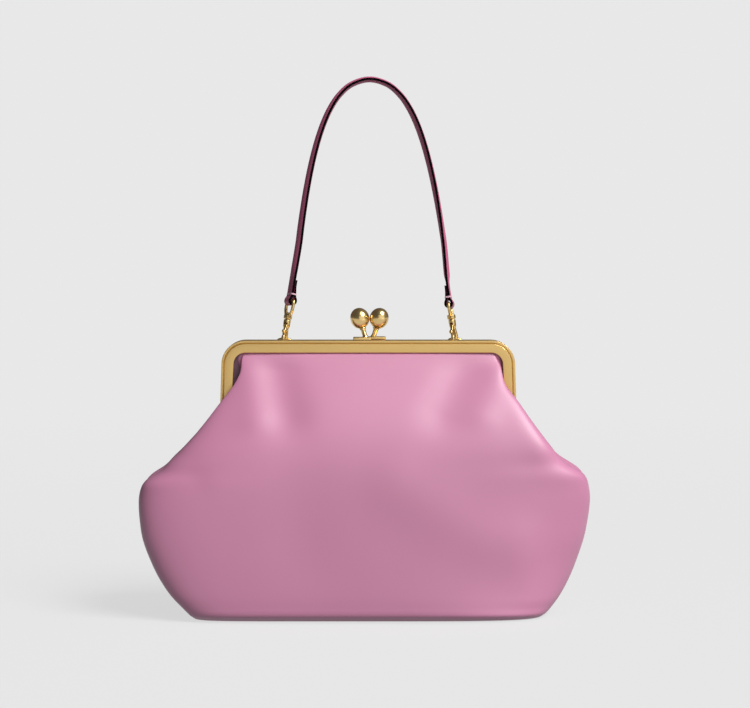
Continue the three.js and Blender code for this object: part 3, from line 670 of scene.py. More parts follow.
# %% Folds
# The x and z of a fold's two ends, its height above the panel and its width.
FOLDS = np.array([
    (-66, 176, -55, 138, -3, 14),
    (-86, 172, -78, 138, 1.4, 11),
    (-53, 112, -46, 48, -0.7, 22),
    (66, 172, 50, 140, -1.7, 14),
    (92, 170, 78, 140, 1.2, 12),
    (100, 162, 124, 116, 1.9, 14),
    (22, 92, 96, 44, 1.3, 20),
    (120, 113, 146, 100, 0.8, 11),
    (-118, 94, -147, 82, -1.2, 11),
    (104, 56, 116, 10, 1.2, 16),
])


def fold_offset(x, z):
    """How far folds move the panel out: the sum of height times a bell curve of the distance to a line."""
    x1, z1, x2, z2, height, width = FOLDS.T
    from_x, from_z = x[..., None] - x1, z[..., None] - z1
    along_x, along_z = x2 - x1, z2 - z1
    share = np.clip((from_x * along_x + from_z * along_z) / (along_x**2 + along_z**2), 0, 1)
    distance = np.hypot(from_x - share * along_x, from_z - share * along_z)
    return (height * np.exp(-((distance / width) ** 2))).sum(-1)


print("folds:", len(FOLDS), "from", FOLDS[:, 4].min(), "to", FOLDS[:, 4].max(), "mm high")

# %% Half a panel
SLOT_FACE, TIGHTEST_TURN = 4.5, 0.02
FRAME_FADE, BASE_FADE = 14, 14
EDGE_STEPS, BACK_STEPS, FRONT_STEPS = 8, 14, 72


def half_panel(row, sign):
    """One half of the front panel's outer face, from the held edge to the middle, as a grid of points.

    The edge strip is an arc and a straight run, measured from its end. The back is a quarter ellipse from
    the seat to the widest point. The front is a superellipse: a ray at angle t meets it at one over the
    power-th root of cos t to the power plus sin t to the power.
    """
    side, power = (row["left"], row["left_power"]) if sign < 0 else (row["right"], row["right_power"])
    seat = side - row["tuck"]
    turn = np.radians(row["turn"])
    radius = np.maximum((row["rear"] - SLOT_FACE) / 2, TIGHTEST_TURN)
    edge = (radius * turn + row["reach"]) * np.linspace(1, 0, EDGE_STEPS, endpoint=False)
    angle = np.minimum(edge / radius, turn)
    straight = edge - radius * angle
    edge_x = seat - radius * np.sin(angle) - straight * np.cos(angle)
    edge_depth = row["rear"] - radius * (1 - np.cos(angle)) - straight * np.sin(angle)
    back_cos, back_sin = arc(math.pi / 2, 0, BACK_STEPS, endpoint=False).T
    back_x = seat + row["tuck"] * back_cos
    back_depth = row["lobe"] - (row["lobe"] - row["rear"]) * back_sin
    ray_cos, ray_sin = np.abs(arc(0, math.pi / 2, FRONT_STEPS + 1)).T
    ray_length = (ray_cos**power + ray_sin**power) ** (-1 / power)
    front_x, swell = side * ray_length * ray_cos, ray_length * ray_sin
    height = row["z"] + row["rise"] * swell
    held = smooth_step(row["front"], SLOT_FACE, FRAME_FADE) * smooth_step(row["z"], 0, BASE_FADE)
    fold = fold_offset(sign * front_x, height) * held
    front_depth = row["lobe"] + (row["front"] - row["lobe"] + fold) * swell
    x = np.concatenate([edge_x, back_x, front_x], 1)
    depth = np.concatenate([edge_depth, back_depth, front_depth], 1)
    level = np.broadcast_to(row["z"], (len(depth), EDGE_STEPS + BACK_STEPS))
    return np.stack([sign * x, -depth, np.concatenate([level, height], 1)], -1)


print("points across half a panel:", EDGE_STEPS + BACK_STEPS + FRONT_STEPS + 1)

# %% Panels
# TINY keeps a normal without length from a division by zero.
LEATHER_WALL, TINY = 1.8, 1e-9
# The painted shade on the strip in the slot sets in over these heights and fades out over these columns of
# the grid.
PAINTED_SHADE_HEIGHTS, PAINTED_SHADE_COLUMNS = (150, 162), (EDGE_STEPS, EDGE_STEPS + 5)


def wall_quads(rows, columns):
    """Quads of an outer grid, an inner grid numbered after it, and the strip between their borders."""
    outer = grid_quads(rows, columns, wrap_columns=False)
    inner = outer[:, ::-1] + rows * columns
    number = np.arange(rows * columns).reshape(rows, columns)
    border = np.concatenate([number[0, :-1], number[:-1, -1], number[-1, :0:-1], number[:0:-1, 0]])
    after = np.roll(border, -1)
    strip = np.stack([after, border, border + rows * columns, after + rows * columns], -1)
    return np.concatenate([outer, inner, strip])


def painted_shade_share():
    """How much painted shade lies on the leather: one on the strip that goes into the slot beside the frame's
    legs, and zero on what shows.
    """
    strip = 1 - smooth_step(np.arange(EDGE_STEPS + BACK_STEPS + FRONT_STEPS + 1), *PAINTED_SHADE_COLUMNS)
    both_sides = np.concatenate([strip, strip[-2::-1]])
    return smooth_step(rows["z"], *PAINTED_SHADE_HEIGHTS) * both_sides


def leather_panel(name, facing):
    """A panel with a wall: the outer grid, and the same grid moved in along its own normals."""
    outer = np.concatenate([half_panel(rows, -1), half_panel(rows, 1)[:, -2::-1]], 1)
    down = np.gradient(outer, axis=0)
    right = np.gradient(outer, axis=1)
    inward = -unit(np.cross(down, right) + TINY)
    both = np.concatenate([outer.reshape(-1, 3), (outer + LEATHER_WALL * inward).reshape(-1, 3)])
    both[:, 1] *= facing
    both[:, 2] = np.maximum(both[:, 2], 0)
    made = closed_mesh(name, both, wall_quads(*outer.shape[:2]))
    # Painted shade in the slot, kept as a mesh attribute that the leather's finish reads.
    painted_shade = made.data.attributes.new("painted_shade", "FLOAT", "POINT")
    painted_shade.data.foreach_set("value", np.tile(painted_shade_share().ravel(), 2))
    return made


for name, facing in (("front", 1), ("back", -1)):
    panel = leather_panel(f"{name}_leather", facing)
    finished(panel, BODY_LEATHER, "bag", f"{name}_panel", sharp_deg=60)

# %% [markdown]
# ## The purse frame
#
# Each half of the frame is a brass channel bent to a U: a flat band on the front, a rounded outer rim and a
# slot that grips the leather. It could be cut from a block, but the channel is one outline all along, so it
# is swept along the bent line. Its feet carry the hinge lugs, which the leather hides, and the back half
# carries two wire staples for the strap's hooks.

# %% Frame sizes
CLEARANCE = 0.3
FRAME_TOP, FRAME_BAND, FRAME_DEPTH = 187.6, 8.4, 6.6
INNER_HALF_WIDTH, INNER_CORNER = 92, 8
FRAME_WALL, SLOT_DEPTH = 1.4, 5.2
RIM_HEIGHT, RIM_DROP, GROOVE_WIDTH, GROOVE_DEPTH, GROOVE_POINT = 1.4, 0.15, 1, 0.9, 0.6
SPLAY, LEG_LENGTH = math.radians(2), 40
FRAME_CORNER_POINTS, LEG_POINTS = 25, 9
HINGE_Z, LUG_RADIUS, LUG_THICKNESS, FRONT_LUG_X = 126.5, 4.6, 1.5, 98.4
# The neck of a lug, from its near to its far side and from its bottom to its top, seen from the pin.
NECK_Y, NECK_Z = (1, 5.6), (2.2, 8.5)
PIN_RADIUS, PIN_HEAD_RADIUS, PIN_HEAD_HEIGHT = 1.2, 2.4, 1.1
LOOP_RADIUS, LOOP_HALF_SPAN, LOOP_STAND_OFF = 1.1, 4.4, 12.8
LOOP_BAR_Z, LOOP_FOOT_Z, LOOP_FOOT_Y = 187.4, 183.2, 6.1
LOOP_X = {"left": -58.2, "right": 59.9}
FLIP_X = np.array([-1, 1, 1])


def channel_outline():
    """The channel's section: distance out from the inner edge, distance from the centre plane."""
    near = CLEARANCE / 2
    far = near + FRAME_DEPTH
    rim, groove = far - RIM_DROP, FRAME_BAND - RIM_HEIGHT - GROOVE_WIDTH
    slot_near, slot_far = near + FRAME_WALL, far - FRAME_WALL
    return rounded([
        (0, near, 0.3), (FRAME_BAND, near, 0.5), (FRAME_BAND, rim, 0.25), (FRAME_BAND - RIM_HEIGHT, rim, 0.1),
        (groove + GROOVE_POINT * GROOVE_WIDTH, far - GROOVE_DEPTH, 0.1), (groove, far, 0.3), (0, far, 0.5),
        (0, slot_far, 0.3), (SLOT_DEPTH, slot_far, 0.3), (SLOT_DEPTH, slot_near, 0.3), (0, slot_near, 0.3),
    ], steps=9)


def frame_line():
    """Points on the inner edge and the direction out of it, from the left foot over the top to the right."""
    out = np.insert(arc(math.pi / 2, SPLAY, FRAME_CORNER_POINTS), 1, 0, axis=1)
    centre = np.array([INNER_HALF_WIDTH - INNER_CORNER, 0, FRAME_TOP - FRAME_BAND - INNER_CORNER])
    corner = centre + INNER_CORNER * out
    down = np.array([math.sin(SPLAY), 0, -math.cos(SPLAY)])
    leg = corner[-1] + down * np.linspace(0, LEG_LENGTH, LEG_POINTS)[1:, None]
    right = np.concatenate([corner, leg])
    outward = np.concatenate([out, np.repeat(out[-1:], len(leg), 0)])
    return np.concatenate([right[::-1] * FLIP_X, right]), np.concatenate([outward[::-1] * FLIP_X, outward])


line, line_out = frame_line()
print("the frame's inner edge is", round(lengths_along(line)[-1], 1), "mm long")

# %% Frame pieces
def hinge_lug(name, x1, x2, facing):
    """A flat ring round the hinge pin, and the neck that joins it to the leg above."""
    half = (x2 - x1) / 2
    place = shift((x1 + x2) / 2, 0, HINGE_Z)
    ring = washer(name, PIN_RADIUS + CLEARANCE, LUG_RADIUS, -half, half, 0.15, 0.3)
    moved(ring, place @ Matrix.Rotation(math.pi / 2, 4, "Y"))
    neck = slab(f"{name}_neck", rounded_box(*NECK_Y, *NECK_Z, 0.3) * (facing, 1), half, 0.2)
    turn = Matrix(((0, 0, 1, 0), (1, 0, 0, 0), (0, 1, 0, 0), (0, 0, 0, 1)))
    return ring, moved(neck, place @ turn)


def strap_staple(name, loop_x):
    """A bent wire on the back of the frame, which a hook hangs on."""
    side, out, foot, bar = LOOP_HALF_SPAN, LOOP_STAND_OFF, LOOP_FOOT_Z, LOOP_BAR_Z
    half = np.array([
        (side, LOOP_FOOT_Y, foot), (side, out - 2.4, foot), (side, out - 0.4, foot + 0.8),
        (side, out, foot + 2.4), (side - 0.5, out, bar - 0.6), (side - 1.8, out, bar),
    ])
    points = np.concatenate([half, half[::-1] * FLIP_X]) + (loop_x, 0, 0)
    return rod(name, points, LOOP_RADIUS, (1, 1, 0), steps=60)


def frame_half(name, facing):
    """The channel with its lugs, and on the back half the two staples, soldered into one."""
    front = np.tile((0.0, -facing, 0.0), (len(line), 1))
    channel = swept(name, line, line_out, front, channel_outline())
    start = FRONT_LUG_X + (0 if facing > 0 else LUG_THICKNESS + CLEARANCE)
    end = start + LUG_THICKNESS
    parts = [*hinge_lug(f"{name}_lug_0", start, end, -facing)]
    parts += hinge_lug(f"{name}_lug_1", -end, -start, -facing)
    if facing < 0:
        parts += [strap_staple(f"{name}_{side}_staple", x) for side, x in LOOP_X.items()]
    return worked(channel, "UNION", *parts)


for name, facing in (("front", 1), ("back", -1)):
    finished(frame_half(f"{name}_purse_frame", facing), SATIN, "bag", f"{name}_frame")

# %% Hinge rivets
def hinge_rivet(name, sign):
    """A pin with a domed head on each side of the two lugs."""
    inner = FRONT_LUG_X - CLEARANCE
    outer = FRONT_LUG_X + 2 * LUG_THICKNESS + 2 * CLEARANCE
    head, pin, high = PIN_HEAD_RADIUS, PIN_RADIUS, PIN_HEAD_HEIGHT
    profile = rounded([
        (0, inner - high, 0), (head, inner - high, 0.7), (head, inner, 0.1), (pin, inner, 0.1),
        (pin, outer, 0.1), (head, outer, 0.1), (head, outer + high, 0.7), (0, outer + high, 0),
    ], closed=False)
    made = turned(name, profile, segments=32)
    return moved(made, shift(0, 0, HINGE_Z) @ Matrix.Rotation(sign * math.pi / 2, 4, "Y"))


for side, sign in (("left", -1), ("right", 1)):
    finished(hinge_rivet(f"{side}_rivet", sign), SATIN, "bag", f"{side}_hinge_rivet")

# %% [markdown]
# ## The kiss lock
#
# Two balls on leaning stems snap past each other to close the bag. Each half is a ball, a collar and a stem,
# turned as one shape round the stem's own axis and soldered to a small plate on top of the frame. The balls
# cross over: the ball of the front half leans to the left, that of the back half to the right.

# %% Kiss lock
CLASP_X, BALL_RADIUS, BALL_STRETCH, BALL_Z = 0.8, 6.5, 1.12, 202.5
STEM_FOOT_X, STEM_FOOT_DEPTH, STEM_SINK = 2.7, 3.3, 0.6
BALL_GAP, PLATE_OVERLAP = 0.2, 1.2
PLATE_LENGTH, PLATE_DEPTH, PLATE_HEIGHT, PLATE_CORNER, PLATE_EDGE = 11.1, 5.4, 2, 0.8, 0.45
STEM_RADIUS, COLLAR_RADIUS, COLLAR_BELOW_BALL = 1.6, 2.2, 0.8


def half_circle(radius, start, count):
    """Radius and height round half a circle, from an angle past its lower pole up to its upper one."""
    points = radius * (arc(start, math.pi, count) * (-1, 1))[:, ::-1]
    points[-1, 0] = 0
    return points


def kiss_half(name, sign):
    """One half of the clasp. The ball is a circle turned from where the stem meets it to its far pole."""
    plate_bottom = FRAME_TOP + CLEARANCE
    plate_top = plate_bottom + PLATE_HEIGHT
    middle = sign * STEM_FOOT_DEPTH
    x1, x2 = sorted((CLASP_X - sign * PLATE_OVERLAP, CLASP_X + sign * PLATE_LENGTH))
    outline = rounded_box(x1, x2, middle - PLATE_DEPTH / 2, middle + PLATE_DEPTH / 2, PLATE_CORNER)
    plate = slab(name, outline, PLATE_HEIGHT / 2, PLATE_EDGE)
    moved(plate, shift(0, 0, (plate_bottom + plate_top) / 2))
    foot = Vector((CLASP_X + sign * STEM_FOOT_X, middle, plate_top - STEM_SINK))
    ball = Vector((CLASP_X + sign * (BALL_RADIUS + BALL_GAP / 2), 0, BALL_Z))
    length = (ball - foot).length
    reach = BALL_RADIUS * BALL_STRETCH
    collar = length - reach - COLLAR_BELOW_BALL
    stem = rounded([
        (0, 0, 0), (STEM_RADIUS + 0.5, 0, 0.1), (STEM_RADIUS + 0.4, 0.9, 0.4), (STEM_RADIUS, 1.8, 1),
        (STEM_RADIUS, collar, 0.3), (COLLAR_RADIUS, collar + 0.2, 0.3), (COLLAR_RADIUS, collar + 1.1, 0.3),
        (STEM_RADIUS, length - reach + 0.2, 0),
    ], closed=False)
    sphere = half_circle(BALL_RADIUS, math.asin(STEM_RADIUS / BALL_RADIUS), count=40)
    sphere = sphere * (1, BALL_STRETCH) + (0, length)
    knob = turned(f"{name}_knob", np.concatenate([stem[:-1], sphere]), segments=64)
    lean = Vector((0, 0, 1)).rotation_difference(ball - foot).to_matrix().to_4x4()
    moved(knob, shift(*foot) @ lean)
    return worked(plate, "UNION", knob)


for name, sign in (("front", -1), ("back", 1)):
    finished(kiss_half(f"{name}_clasp", sign), POLISHED, "bag", f"{name}_kiss_clasp")

# %% [markdown]
# ## Snap hooks and swivel eyes
#
# A swivel snap hook has four working parts: an eye that the strap is folded round, a column that turns in
# the eye's collar, a bent wire that hooks the staple, and a sprung gate that closes it. Each could be drawn
# where it hangs, but it is easier made upright at the origin and then moved to its place on either side. A
# slot in the column and the pin's hole are cut out, because the gate swings there.

# %% Hook sizes and places
HOOK_LEAN_BACK = math.radians(8)
BEND_RADIUS, WIRE_RADIUS, TIP_Z = 3.4, 1.3, 2
COLUMN_RADIUS, COLUMN_FOOT, COLUMN_BOTTOM, COLUMN_TAPER, COLUMN_TOP = 2.5, 1.7, 7.2, 2.4, 13.9
STUD_RADIUS, STUD_HEAD = 1.1, 1.8
PIVOT_X, PIVOT_Z, PIVOT_HOLE = -0.9, 9.8, 0.9
GATE_THICKNESS, GATE_HALF_WIDTH, GATE_EYE, GATE_PIN, GATE_PIN_HALF = 1.8, 0.9, 1.2, 0.6, 1.7
GATE_BOTTOM, GATE_SHOULDER, NUB_RADIUS, NUB_Z = 2.7, 6, 1.4, 5.2
EYE_WIRE, EYE_HALF_SPAN, EYE_COLLAR, EYE_COLLAR_HEIGHT, EYE_BORE = 1.15, 6.3, 2.9, 3, 1.4
# Each end: its side, how far the eye's bar stands above the staple, how far the hook leans in, how far hook
# and eye are turned, in degrees, and the length of the strap's tail above the bar.
ENDS = {
    "left": {"sign": -1, "reach": 27, "lean_in": 9.2, "hook_turn": 12, "eye_turn": 24, "tail": 14.6},
    "right": {"sign": 1, "reach": 24.8, "lean_in": 8.8, "hook_turn": 24, "eye_turn": 9, "tail": 12.8},
}


def end_axes(side):
    """The foot of a hook's axis, and the directions across it, to the back and up along it."""
    end = ENDS[side]
    lean = (-end["sign"] * math.tan(math.radians(end["lean_in"])), math.tan(HOOK_LEAN_BACK), 1)
    axis = Vector(lean).normalized()
    across = (Vector((1, 0, 0)) - axis * axis.x).normalized()
    foot = Vector((LOOP_X[side], LOOP_STAND_OFF, LOOP_BAR_Z))
    return foot, across, axis.cross(across), axis


def end_matrix(side, turn_deg):
    """The move of an upright piece to its place on a side, after a turn round its own axis."""
    foot, across, back, axis = end_axes(side)
    basis = Matrix((across, back, axis)).transposed().to_4x4()
    return shift(*foot) @ basis @ Matrix.Rotation(math.radians(turn_deg), 4, "Z")


for side in ENDS:
    print(side, "hook's axis:", [round(v, 3) for v in end_axes(side)[3]])

# %% Upright hook, gate and eye
def upright_pin(name, radius, half_length):
    """A round pin along the gate's pivot."""
    profile = rounded([
        (0, -half_length, 0), (radius, -half_length, 0.15), (radius, half_length, 0.15), (0, half_length, 0),
    ], closed=False)
    pin = turned(name, profile, segments=24)
    return moved(pin, shift(PIVOT_X, 0, PIVOT_Z) @ Matrix.Rotation(math.pi / 2, 4, "X"))


def upright_hook():
    """Column, stud and head turned as one, the wire bent round the staple, and the gate's slot."""
    head = COLUMN_TOP + EYE_COLLAR_HEIGHT + 2 * CLEARANCE
    waist = COLUMN_BOTTOM + COLUMN_TAPER
    profile = rounded([
        (0, COLUMN_BOTTOM, 0), (COLUMN_FOOT, COLUMN_BOTTOM, 0.3), (COLUMN_RADIUS - 0.1, waist, 0.8),
        (COLUMN_RADIUS, COLUMN_TOP - 0.3, 0.5), (COLUMN_RADIUS - 0.6, COLUMN_TOP, 0.2),
        (STUD_RADIUS, COLUMN_TOP, 0.1), (STUD_RADIUS, head, 0.1), (STUD_HEAD, head, 0.2),
        (STUD_HEAD, head + 0.7, 0.5), (0.7, head + 1.4, 0.5), (0, head + 1.4, 0),
    ], closed=False)
    column = turned("hook", profile)
    bend = np.insert(BEND_RADIUS * arc(0, -math.pi, count=7), 1, 0, axis=1)
    spine = [(1, 0, waist), (2.2, 0, COLUMN_BOTTOM - 1), (3.2, 0, BEND_RADIUS)]
    points = [*spine, *bend, (-BEND_RADIUS, 0, TIP_Z - 0.4)]
    wire = rod("hook_wire", points, WIRE_RADIUS, (0, 1, 0), steps=70, sides=24)
    x1, x2 = -2 * COLUMN_RADIUS, PIVOT_X + GATE_EYE + 2 * CLEARANCE
    z1, z2 = TIP_Z + BEND_RADIUS, PIVOT_Z + GATE_EYE + 2 * CLEARANCE
    outline = rounded([(x1, z1, 0.2), (x2, z1, 0.2), (x2, z2, 0.6), (x1, z2, 0.2)])
    slot = slab("hook_slot", outline, GATE_THICKNESS / 2 + CLEARANCE, 0.1, upright=True)
    hole = upright_pin("hook_hole", PIVOT_HOLE, 2 * COLUMN_RADIUS)
    return worked(worked(column, "UNION", wire), "DIFFERENCE", slot, hole)


def upright_gate():
    """A flat lever with its pin and a round thumb nub."""
    eye = GATE_EYE * arc(0, math.pi, count=16) + (PIVOT_X, PIVOT_Z)
    outer, inner = -BEND_RADIUS - GATE_HALF_WIDTH, -BEND_RADIUS + GATE_HALF_WIDTH
    lower = rounded([
        (PIVOT_X - GATE_EYE, PIVOT_Z, 0), (outer, GATE_SHOULDER, 1.5), (outer, GATE_BOTTOM, 0.4),
        (inner, GATE_BOTTOM, 0.4), (-BEND_RADIUS + GATE_EYE, GATE_SHOULDER - GATE_HALF_WIDTH, 1.5),
        (PIVOT_X + GATE_EYE, PIVOT_Z, 0),
    ], closed=False)
    plate = slab("gate", np.concatenate([eye, lower[1:-1]]), GATE_THICKNESS / 2, 0.3, upright=True)
    pin = upright_pin("gate_pin", GATE_PIN, GATE_PIN_HALF)
    nub = turned("gate_nub", half_circle(NUB_RADIUS, 0, count=20), segments=32)
    moved(nub, shift(-BEND_RADIUS - NUB_RADIUS, 0, NUB_Z))
    return worked(plate, "UNION", pin, nub)


def upright_eye(name, side):
    """A collar with a bore, and a wire that runs out of it, up and across as the strap's bar."""
    bar_z = ENDS[side]["reach"]
    bottom = COLUMN_TOP + CLEARANCE
    middle, top = bottom + EYE_COLLAR_HEIGHT / 2, bottom + EYE_COLLAR_HEIGHT
    collar = washer(name, EYE_BORE, EYE_COLLAR, bottom, top, 0.2, 0.6)
    half = np.array([
        (2.2, 0, middle), (3.6, 0, middle + 0.8), (5.2, 0, top + 1.6), (EYE_HALF_SPAN, 0, top + 4),
        (EYE_HALF_SPAN - 0.15, 0, bar_z - 1), (EYE_HALF_SPAN - 1, 0, bar_z - 0.05),
        (EYE_HALF_SPAN - 2, 0, bar_z),
    ])
    points = np.concatenate([half, [(0, 0, bar_z)], half[::-1] * FLIP_X])
    return worked(collar, "UNION", rod("eye_wire", points, EYE_WIRE, (0, 1, 0), steps=110))


upright = {"hook": ("snap_hook", upright_hook()), "gate": ("hook_gate", upright_gate())}
print("faces:", {kind: len(piece.data.polygons) for kind, piece in upright.values()})

# %% Hooks in place
for side, end in ENDS.items():
    for body, (kind, piece) in upright.items():
        twin = linked(f"{side}_{kind}_gold", piece.data.copy())
        moved(twin, end_matrix(side, 90 - end["hook_turn"]))
        finished(twin, WORN, f"{side}_{body}", f"{side}_{kind}")
    eye = upright_eye(f"{side}_swivel_eye_gold", side)
    moved(eye, end_matrix(side, 90 - end["sign"] * end["eye_turn"]))
    finished(eye, WORN, "bag", f"{side}_swivel_eye")
for _, piece in upright.values():
    bpy.data.objects.remove(piece)

# %% [markdown]
# ## The strap
#
# The strap is a slim leather ribbon with domed faces. Each end runs down to an eye, folds round its bar and
# comes back up behind itself, flat and pared thin, and the arch between the ends leans back and twists a
# little. A curve object with a bevel could be bent like this, but its twist is hard to hold, so the ribbon
# is swept along its route with a width direction at every point. The faces of the cut edges have a second
# material, the black paint.

# %% Strap route
STRAP_WIDTH, STRAP_THICKNESS, STRAP_CROWN, STRAP_EDGE = 9, 1.7, 1.2, 0.35
FOLD_RADIUS, TAIL_THIN, TAIL_PARED, DOME_FADE = 2.3, 0.5, (3, 11), 9
# Half the distance between the middles of the two layers above a fold.
PARTED = (STRAP_THICKNESS + CLEARANCE) / 2
STRAP_TOP, ARCH_SCALE_X, ARCH_SCALE_Z, ARCH_REACH, ARCH_SWAY = 368, 16, 10.7, 3.15, 1.3
STRAP_STATIONS, ARCH_POINTS = 460, 27
# How far the outer face is turned to the front, along the arch from left to right, in degrees.
TWIST_ALONG = np.array([0, 0.2, 0.36, 0.5, 0.66, 0.84, 1])
TWIST_DEG = np.array([24, 20, 14, -2, -14, -9, 5], float)


def tail_share(up):
    """The tail's thickness as a share of the strap's: it is pared down above the fold."""
    return 1 - (1 - TAIL_THIN) * smooth_step(up, *TAIL_PARED)


def bar_frame(side):
    """The middle of an eye's bar, and the directions out of the strap's face, along the bar and up."""
    foot, across, back, axis = (np.array(v) for v in end_axes(side))
    sign, turn = ENDS[side]["sign"], math.radians(ENDS[side]["eye_turn"])
    outward = across * sign * math.cos(turn) - back * math.sin(turn)
    along_bar = across * sign * math.sin(turn) + back * math.cos(turn)
    return foot + axis * ENDS[side]["reach"], outward, along_bar, axis


def beside_bar(side, out, up):
    """Points at distances out from the bar and up from it, each with the strap's width direction."""
    bar, outward, along_bar, axis = bar_frame(side)
    points = bar + out[:, None] * outward + up[:, None] * axis
    return np.concatenate([points, np.tile(along_bar, (len(points), 1))], 1)


def strap_arch():
    """An inverted catenary in a plane that leans back: the height falls with the cosh of the reach."""
    bar = bar_frame("left")[0]
    share = np.linspace(-1, 1, ARCH_POINTS)
    reach = np.arcsinh(share * math.sinh(ARCH_REACH))
    drop = ARCH_SCALE_Z * (np.cosh(reach) - 1)
    z = STRAP_TOP - drop
    x = CLASP_X + ARCH_SCALE_X * reach + ARCH_SWAY * drop / drop.max()
    slope = -ARCH_SCALE_Z * np.sinh(reach) / ARCH_SCALE_X
    outward = unit(np.stack([-slope, 0 * slope, 1 + 0 * slope], -1))
    turn = np.radians(monotone_curve((share + 1) / 2, TWIST_ALONG, TWIST_DEG))[:, None]
    width = np.array([0, 1, 0]) * np.cos(turn) + outward * np.sin(turn)
    y = bar[1] + (z - bar[2]) * math.tan(HOOK_LEAN_BACK)
    return np.concatenate([np.stack([x, y, z], -1), width], 1)


print("the arch has", len(strap_arch()), "points")

# %% Strap arms and folded ends
TAIL_POINTS, BEND_POINTS, NEAR_BAR = 6, 9, STRAP_STATIONS // 8
# Distances out from the bar and up from it, where an arm of the strap leaves its fold.
ARM_FOOT = np.array([
    (FOLD_RADIUS - 0.25, 1.3), (PARTED + 0.25, 2.9), (PARTED, 4), (PARTED, 7), (PARTED, 13),
]).T
arms = np.concatenate([beside_bar("left", *ARM_FOOT), strap_arch(), beside_bar("right", *ARM_FOOT)[::-1]])
arms = smooth_path(arms, STRAP_STATIONS)


def folded_end(side):
    """Points from the tail's tip down along the arm and round the bar."""
    bar, outward, _, axis = bar_frame(side)
    near = (arms if side == "left" else arms[::-1])[:NEAR_BAR, :3] - bar
    up = np.linspace(ENDS[side]["tail"], ARM_FOOT[1, 2], TAIL_POINTS)
    apart = STRAP_THICKNESS / 2 * (1 + tail_share(up)) + CLEARANCE
    out = np.interp(up, near @ axis, near @ outward) - apart
    bend_out, bend_up = FOLD_RADIUS * arc(-math.pi, 0, BEND_POINTS).T
    out = np.concatenate([out, -ARM_FOOT[0, 1::-1], bend_out])
    up = np.concatenate([up, ARM_FOOT[1, 1::-1], bend_up])
    return beside_bar(side, out, up)


route = np.concatenate([folded_end("left"), arms, folded_end("right")[::-1]])
route = smooth_path(route, STRAP_STATIONS)
print("the strap is", round(lengths_along(route[:, :3])[-1]), "mm long with its folded ends")

# %% Strap ribbon
FACE_POINTS, EDGE_POINTS = 15, 4


def strap_outline(crown):
    """Points round the strap's section at each station, and whether the side after each is painted.

    The two faces are crowned by one minus the square of the place across. Between them are rounded edges.
    """
    half, side = STRAP_THICKNESS / 2, STRAP_WIDTH / 2
    flat, deep = side - STRAP_EDGE, half - STRAP_EDGE
    place = np.linspace(-1, 1, FACE_POINTS)
    crowned = half + crown[:, None] * (1 - place**2)
    face = np.stack(np.broadcast_arrays(crowned, place * flat), -1)
    corner = STRAP_EDGE * arc(0, math.pi / 2, ARC_STEPS)[1:-1]
    top = np.linspace(deep, -deep, EDGE_POINTS)
    edge = np.concatenate([
        corner + (deep, flat), np.stack([top, 0 * top + side], -1), (corner * (-1, 1))[::-1] + (-deep, flat),
    ])
    edge = np.broadcast_to(edge, (len(crown), *edge.shape))
    painted = np.concatenate([0 * place, np.ones(edge.shape[1])])
    return np.concatenate([face, edge, -face, -edge], 1), np.tile(painted, 2)


def strap_ribbon(name):
    """The outline carried along the route: domed between the ends, flat and thinner at the tails."""
    path, width = route[:, :3], route[:, 3:]
    tangent = unit(np.gradient(path, axis=0))
    across = unit(np.cross(tangent, width))
    from_tip = lengths_along(path)
    from_tips = {"left": from_tip, "right": from_tip[-1] - from_tip}
    thickness, crown = np.ones(len(path)), np.full(len(path), STRAP_CROWN)
    for side, end in ENDS.items():
        thickness = thickness * tail_share(end["tail"] - from_tips[side])
        flat_end = 2 * end["tail"] + math.pi * FOLD_RADIUS
        crown = crown * smooth_step(from_tips[side], flat_end, flat_end + DOME_FADE)
    outline, painted = strap_outline(crown)
    made = swept(name, path, across * thickness[:, None], np.cross(across, tangent), outline)
    finished(made, STRAP_LEATHER, "bag", "strap", sharp_deg=60)
    made.data.materials.append(EDGE_PAINT)
    paint = np.concatenate([np.tile(painted, len(path) - 1), [1, 1]])
    made.data.polygons.foreach_set("material_index", paint.astype(np.int32))


strap_ribbon("strap_ribbon")

# %% [markdown]
# Above each fold the two layers are held together by a bar tack: a few turns of light thread drawn round
# both of them. Each turn is a closed ring of round thread. It could be one long spiral, but nobody sees where
# a tack begins and ends.

# %% Bar tacks
THREAD_RADIUS, THREAD_SIDES, TACK_TURNS, TACK_UP, TACK_CORNER = 0.28, 12, 2, 4.4, 0.8


def bar_tack(name, side):
    """Rings of thread round both layers of the strap, one above the other."""
    bar, outward, along_bar, axis = bar_frame(side)
    out, wide = PARTED + STRAP_THICKNESS / 2, STRAP_WIDTH / 2 + THREAD_RADIUS / 2
    loop = rounded_box(-out, out, -wide, wide, TACK_CORNER)
    path = loop[:, :1] * outward + loop[:, 1:] * along_bar
    across = unit(np.cross(np.roll(path, -1, 0) - np.roll(path, 1, 0), axis))
    thread = THREAD_RADIUS * circle(THREAD_SIDES)
    ring = path[:, None] + across[:, None] * thread[:, :1] + axis * thread[:, 1:]
    lift = TACK_UP + 2 * THREAD_RADIUS * np.arange(TACK_TURNS)
    rings = bar + ring[None] + lift[:, None, None, None] * axis
    quads = grid_quads(*ring.shape[:2], wrap_rows=True)
    quads = (quads[None] + ring[..., 0].size * np.arange(TACK_TURNS)[:, None, None]).reshape(-1, 4)
    return closed_mesh(name, rings, quads)


for side in ENDS:
    finished(bar_tack(f"{side}_bar_tack", side), THREAD, "bag")

# %% [markdown]
# ## Stage and light
#
# The bag stands on a pale seamless surface under one large soft light from the upper right, helped by a weak
# one in front and one at the right. What faces left is in deep shade, so the surroundings on that side are
# dark. The backdrop is a dome that only the camera sees. It could also be a lit wall, but a wall would throw
# light back on the shaded side.

